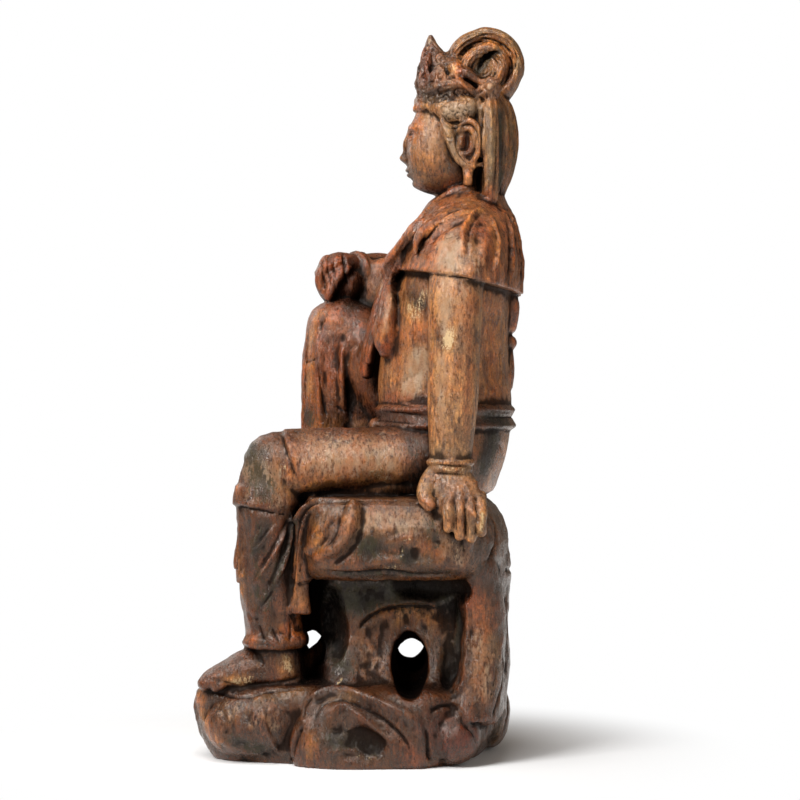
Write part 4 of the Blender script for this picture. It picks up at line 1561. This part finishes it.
def carved_wood(look):
    g = Graph(bpy.data.materials.new("aged_painted_wood"))
    here = g.add("TexCoord", output=3)
    # in millimetres, and drawn out along the grain
    at, along, drawn = (
        g.add("VectorMath", {0: here, 1: (1 / MM, 1 / MM, squeezed / MM)}, operation="MULTIPLY")
        for squeezed in (1, 0.12, 0.48))
    grain = g.noise(along, 0.24, 5, 0.6)
    fine_grain = g.noise(along, 0.9, 3, 0.6)
    blotch = g.noise(at, 0.035, 4, 0.62)
    cloud = g.noise(drawn, 0.075, 5, 0.64)
    patch = g.noise(drawn, 0.16, 5, 0.68)
    mottle = g.noise(drawn, 0.3, 5, 0.72)
    fleck = g.noise(at, 0.5, 3, 0.66)
    speck = g.noise(at, 0.9, 2, 0.6)
    wrinkle = g.noise(drawn, 0.2, 5, 0.6, 0.9)
    crease = g.band(g.math("ABSOLUTE", g.math("SUBTRACT", wrinkle, 0.5)), 0.0, 0.055)
    dust, dark, rust, cream = (g.field(k) for k in ("dust", "dark", "rust", "cream"))
    hollow, edge, shaded = (g.field(k) for k in ("hollow", "edge", "shade"))

    def centred(value, gain):
        return g.math("MULTIPLY_ADD", value, gain, -0.5 * gain)

    def total(*values):
        out = values[0]
        for value in values[1:]:
            out = g.math("ADD", out, value)
        return out

    def part(value, share):
        return g.math("MULTIPLY", value, share)

    colour = g.add("Attribute", attribute_name="tint")
    for pattern, low, high, most, tone in (
        (blotch, 0.42, 0.58, 1.0, (1.04, 0.87, 0.74)),
        (cloud, 0.56, 0.36, 0.85, (0.40, 0.30, 0.24)),
        (patch, 0.48, 0.64, 0.8, (1.7, 1.56, 1.3)),
        (grain, 0.52, 0.36, 0.7, (0.34, 0.25, 0.20)),
        (mottle, 0.48, 0.32, 0.42, (0.34, 0.25, 0.21)),
        (fleck, 0.52, 0.64, 0.75, (1.75, 1.68, 1.6)),
        (speck, 0.45, 0.34, 0.4, (0.30, 0.24, 0.21)),
    ):
        colour = g.mix(part(g.band(pattern, low, high), most), colour, tone, "MULTIPLY")
    colour = g.mix(g.math("MULTIPLY_ADD", crease, -0.45, 0.45), colour, (0.42, 0.33, 0.28), "MULTIPLY")
    colour = g.mix(1.0, colour, look["varnish"], "MULTIPLY")
    worn = g.band(total(edge, centred(mottle, 2.2)), 0.45, 1.1)
    colour = g.mix(part(worn, 0.6), colour, (2.0, 1.8, 1.5), "MULTIPLY")
    dusty = g.band(total(dust, centred(mottle, 1.3), centred(patch, 1.3)), 0.22, 0.66)
    pale = g.mix(g.band(cloud, 0.42, 0.58), look["lilac"], look["rose"])
    colour = g.mix(part(dusty, 0.74), colour, pale)
    rusty = g.band(total(rust, centred(mottle, 1.3), centred(fleck, 0.7)), 0.36, 0.66)
    colour = g.mix(part(rusty, 0.65), colour, look["rust_tone"])
    stained = g.band(total(dark, centred(mottle, 1.5), centred(patch, 1.0)), 0.32, 0.58)
    stain = g.mix(g.band(cloud, 0.42, 0.58), look["slate"], look["moss"])
    colour = g.mix(part(stained, 0.86), colour, stain)
    flaked = g.band(total(cream, centred(mottle, 1.5), centred(fleck, 1.2)), 0.46, 0.60)
    colour = g.mix(part(flaked, 0.8), colour, look["cream"])
    dirty = part(g.band(total(hollow, centred(mottle, 0.9)), 0.10, 0.80), 0.88)
    colour = g.mix(dirty, colour, linear("160d09"))
    deep = g.band(total(shaded, centred(mottle, 0.45), centred(cloud, 0.4)), 0.26, 0.66)
    colour = g.mix(part(deep, 0.94), colour, linear("0b0807"))

    rough = total(look["roughness"], part(dusty, 0.04), centred(mottle, 0.5), part(dirty, 0.25),
                  part(deep, 0.3))
    height = total(*(part(pattern, share) for pattern, share in (
        (grain, 0.7), (fine_grain, 0.12), (mottle, 0.6), (fleck, 0.35), (speck, 0.12), (crease, 0.22),
        (flaked, 0.15), (dusty, 0.08))))
    # the wax over the wood lies smoother than the wood itself
    bump, wax = (g.add("Bump", {"Strength": share * look["bump"], "Distance": 2.4 * MM, "Height": height})
                 for share in (1.0, 0.65))
    dull = g.math("MAXIMUM", g.math("MAXIMUM", deep, part(dirty, 0.9)), part(stained, 0.55))
    clean = g.math("SUBTRACT", 1.0, dull)
    shader = g.add("BsdfPrincipled", {
        "Base Color": colour,
        "Roughness": g.math("MINIMUM", g.math("MAXIMUM", rough, 0.16), 0.95),
        "Normal": bump,
        "Specular IOR Level": part(clean, 0.45),
        "Specular Tint": (1.0, 0.88, 0.74, 1.0),
        "Coat Weight": part(clean, look["wax"]),
        "Coat Roughness": 0.17,
        "Coat Normal": wax,
        "Coat Tint": (1.0, 0.93, 0.82, 1.0),
    })
    g.add("OutputMaterial", {"Surface": shader})
    return g.owner


# The piece

def fine_places(at):
    """The head, the hands and the knot on the breast, which carry the smallest lines."""
    x, y, z = at.T
    fine = (z > 690) | ((x > 136) & (abs(z - 315) < 50) & (y < 165) & (y > 70))
    fine |= (x < -60) & (y < 4) & (abs(z - 590) < 50)
    return fine | ((z > 470) & (z < 650) & (y < 60) & (abs(x) < 50))


def inside(obj, chosen):
    """How many triangles have all three corners among the chosen points."""
    return int(chosen[values_of(obj.data.polygons, "vertices", 3, int)].all(axis=1).sum())


def thinned(obj, chosen, total):
    """Fewer triangles where the points are chosen, until `total` are left in all."""
    kept = obj.vertex_groups.new(name="kept")
    kept.add(np.flatnonzero(~chosen).tolist(), 1.0, "REPLACE")
    changed(obj, "DECIMATE", ratio=total / len(obj.data.polygons), vertex_group="kept",
            invert_vertex_group=True, vertex_group_factor=1000.0)
    obj.vertex_groups.clear()


def lighten(obj, at, total):
    """Brings the mesh down to `total` triangles, and spares the fine places up to their share of them."""
    changed(obj, "TRIANGULATE")
    care = fine_places(at)
    spare = inside(obj, care) - FINE_SHARE * total
    if spare > 0:
        thinned(obj, care, len(obj.data.polygons) - spare)
    thinned(obj, ~fine_places(Surface(obj).at), total)


def refined(obj, chosen):
    """Splits the faces around the chosen points, so that they can hold finer lines."""
    bm = bmesh.new()
    bm.from_mesh(obj.data)
    bm.verts.ensure_lookup_table()
    marked = set(np.flatnonzero(chosen).tolist())
    edges = [e for e in bm.edges if e.verts[0].index in marked and e.verts[1].index in marked]
    bmesh.ops.subdivide_edges(bm, edges=edges, cuts=1, use_grid_fill=True)
    bmesh.ops.triangulate(bm, faces=[f for f in bm.faces if len(f.verts) > 4])
    bm.to_mesh(obj.data)
    bm.free()


def labelled():
    """A tree of all the blocked-out forms, with the name of the form that each face belongs to."""
    everything = Forms()
    names = []
    for name, makers in MAKERS.items():
        f = made(*makers)
        everything.add(np.vstack(f.points), f.faces)
        names.extend([name] * len(f.faces))
    return BVHTree.FromPolygons(np.vstack(everything.points).tolist(), everything.faces), names


MAKERS = {
    "rock": (rock_forms, rock_cuts, rock_extras),
    "seat": (seat_forms,),
    "torso": (torso_forms,),
    "belt": (belt_forms,),
    "cape": (cape_forms, cape_edges),
    "left_arm": (left_arm,),
    "right_arm": (right_arm,),
    "left_leg": (left_leg,),
    "right_leg": (right_leg,),
    "lap": (lap_forms,),
    "knot": (knot_forms,),
    "head": (head_forms,),
    "hair": (hair_forms,),
    "crown": (crown_forms,),
}


def parted(s, tree, names):
    """Gives every point of the surface a share in the form that it lies on, soft towards its edges."""
    order = list(MAKERS)
    label = np.array([order.index(names[tree.find_nearest(Vector(p))[2]]) for p in s.at])
    s.shares = {}
    for k, name in enumerate(order):
        s.shares[name] = s.averaged((label == k).astype(float), 6)


def stored(mesh, name, values, kind="FLOAT"):
    attribute = mesh.attributes.new(name, kind, "POINT")
    if kind == "FLOAT_COLOR":
        values = np.column_stack([values, np.ones(len(values))])
        attribute.data.foreach_set("color", values.ravel())
    else:
        attribute.data.foreach_set("value", values)


def colour_setting(name, description, default):
    return bpy.props.FloatVectorProperty(
        name=name, description=description, subtype="COLOR", size=3, min=0, max=1, default=default)


def share_setting(name, description, default):
    return bpy.props.FloatProperty(
        name=name, description=description, default=default, min=0, max=1, subtype="FACTOR")


def light_setting(name, description, default):
    return bpy.props.FloatProperty(name=name, description=description, default=default, unit="POWER")


class CarvingSettings(bpy.types.PropertyGroup):
    grain_size: bpy.props.FloatProperty(
        name="Fineness", description="Size of the smallest detail that the surface can hold",
        default=0.002, min=0.0008, max=0.006, unit="LENGTH")
    triangles: bpy.props.IntProperty(
        name="Triangles", description="Most triangles that the finished carving keeps",
        default=196000, min=20000, max=199000)
    relief: bpy.props.FloatProperty(
        name="Relief", description="Depth of the carved lines against their usual depth",
        default=1.0, min=0, max=2)


class PaintSettings(bpy.types.PropertyGroup):
    roughness: share_setting("Roughness", "Roughness of the waxed wood", 0.3)
    wax: share_setting("Wax", "How much of a wax coat lies over the wood", 0.55)
    bump: share_setting("Grain relief", "Depth of the grain and flakes", 0.6)
    for colour, code in PALETTE.items():
        words = colour.replace("_", " ")
        __annotations__[colour] = colour_setting(
            words.capitalize(), f"Colour of the {words} in the paint", linear(code))
    del colour, code, words


class StageSettings(bpy.types.PropertyGroup):
    floor: colour_setting("Floor", "Colour of the floor", (0.86, 0.86, 0.86))
    key: light_setting("Key light", "Power of the main light", 60)
    fill: light_setting("Fill lights", "Power of the lights on the back and the far side", 11)
    top: light_setting("Top light", "Power of the light above", 26)
    surround: share_setting("Surround", "Brightness all round", 0.19)


def placed(scene, name, data):
    obj = bpy.data.objects.new(name, data)
    scene.collection.objects.link(obj)
    return obj


def camera_at_the_eye(scene):
    camera = bpy.data.cameras.new("camera")
    camera.sensor_width = SENSOR
    camera.lens = SENSOR * FOCAL_PX / PICTURE_PX
    eye = placed(scene, "camera", camera)
    eye.location = Vector(EYE + HOME) * MM
    eye.rotation_euler = (np.pi / 2, 0, np.pi / 2)
    return eye


def lay_floor(scene, colour, half_width=3, fade=(0.19, 0.5)):
    mesh = bpy.data.meshes.new("floor")
    bm = bmesh.new()
    bmesh.ops.create_grid(bm, x_segments=1, y_segments=1, size=half_width)
    bm.to_mesh(mesh)
    bm.free()
    floor = placed(scene, "floor", mesh)
    g = Graph(bpy.data.materials.new("pale_floor"))
    shader = g.add("BsdfPrincipled", {"Base Color": (*colour, 1), "Roughness": 0.9})
    # away from the carving the floor runs out into the white of the backdrop
    far = g.add("VectorMath", {0: g.add("TexCoord", output=3)}, output=1, operation="LENGTH")
    white = g.add("Emission", {"Color": (1, 1, 1, 1), "Strength": 1.0})
    blend = g.add("MixShader", {0: g.band(far, *fade), 1: shader, 2: white})
    g.add("OutputMaterial", {"Surface": blend})
    mesh.materials.append(g.owner)


def hang_light(scene, name, place, energy, size, aim=(0, 0, 0.45)):
    light = bpy.data.lights.new(name, "AREA")
    light.energy = energy
    light.size = size
    lamp = placed(scene, name, light)
    lamp.location = place
    lamp.rotation_euler = (Vector(aim) - Vector(place)).to_track_quat("-Z", "Y").to_euler()


def surrounding(brightness, tone=(1, 0.87, 0.74)):
    """White behind the carving, and dimmer and warmer as a light on it."""
    g = Graph(bpy.data.worlds.new("studio"))
    camera_ray = g.add("LightPath")
    strength = g.add("MapRange", {"Value": camera_ray, "To Min": brightness, "To Max": 1.0})
    back = g.add("Background", {"Color": g.mix(camera_ray, tone, (1, 1, 1)), "Strength": strength})
    g.add("OutputWorld", {"Surface": back})
    return g.owner


class CARVING_OT_statue(bpy.types.Operator):
    """Carves the seated figure together with its rock"""
    bl_idname = "carving.statue"
    bl_label = "Statue on rock"

    def execute(self, context):
        settings = context.scene.carving
        paint = context.scene.carving_paint
        tree, names = labelled()
        obj = block_out(settings.grain_size / MM)
        refined(obj, fine_places(Surface(obj).at))
        s = Surface(obj)
        s.relief = settings.relief
        parted(s, tree, names)
        carved(s)
        s.write()
        lighten(obj, s.at, settings.triangles)
        s = Surface(obj)
        s.grounded()
        s.write()
        parted(s, tree, names)
        palette = {name: tuple(getattr(paint, name)) for name in PALETTE}
        tint, fields = dressed(s, palette)
        mesh = obj.data
        stored(mesh, "tint", tint, "FLOAT_COLOR")
        for name, values in fields.items():
            stored(mesh, name, values)
        mesh.transform(Matrix.Translation(Vector(HOME) * MM) @ Matrix.Scale(MM, 4))
        mesh.polygons.foreach_set("use_smooth", np.ones(len(mesh.polygons), bool))
        look = {**palette, "roughness": paint.roughness, "wax": paint.wax, "bump": paint.bump}
        mesh.materials.clear()
        mesh.materials.append(carved_wood(look))
        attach(obj, "root")
        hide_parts(NODE)
        return {"FINISHED"}


class CARVING_OT_stage(bpy.types.Operator):
    """Sets the floor, the lights and the camera"""
    bl_idname = "carving.stage"
    bl_label = "Stage"

    def execute(self, context):
        scene = context.scene
        settings = scene.carving_stage
        scene.camera = camera_at_the_eye(scene)
        lay_floor(scene, settings.floor)
        for name, place, energy, size in (
            ("key_light", (1.5, -1.2, 1.75), settings.key, 0.9),
            ("fill_light", (1.9, 2.2, 1.3), settings.fill, 1.5),
            ("top_light", (0.7, -0.3, 2.2), settings.top, 1.1),
            ("far_light", (-2.2, -1.4, 1.4), settings.fill, 1.6),
        ):
            hang_light(scene, name, place, energy, size)
        scene.world = surrounding(settings.surround)
        scene.view_settings.view_transform = "Standard"
        return {"FINISHED"}


class CARVING_PT_panel(bpy.types.Panel):
    bl_idname = "CARVING_PT_panel"
    bl_label = "Guanyin Carving"
    bl_space_type = "VIEW_3D"
    bl_region_type = "UI"
    bl_category = "Carving"

    def draw(self, context):
        scene = context.scene
        for settings, operator in ((scene.carving, "carving.statue"), (scene.carving_paint, None),
                                   (scene.carving_stage, "carving.stage")):
            box = self.layout.box()
            for key in settings.bl_rna.properties.keys():
                if key not in ("rna_type", "name"):
                    box.prop(settings, key)
            if operator:
                box.operator(operator)


CLASSES = (
    CarvingSettings, PaintSettings, StageSettings, CARVING_OT_statue, CARVING_OT_stage, CARVING_PT_panel,
)


def register():
    for cls in CLASSES:
        bpy.utils.register_class(cls)
    bpy.types.Scene.carving = bpy.props.PointerProperty(type=CarvingSettings)
    bpy.types.Scene.carving_paint = bpy.props.PointerProperty(type=PaintSettings)
    bpy.types.Scene.carving_stage = bpy.props.PointerProperty(type=StageSettings)


def unregister():
    del bpy.types.Scene.carving_stage
    del bpy.types.Scene.carving_paint
    del bpy.types.Scene.carving
    for cls in reversed(CLASSES):
        bpy.utils.unregister_class(cls)


def main():
    register()
    bpy.ops.carving.statue()
    bpy.ops.carving.stage()


if __name__ == "__main__":
    main()
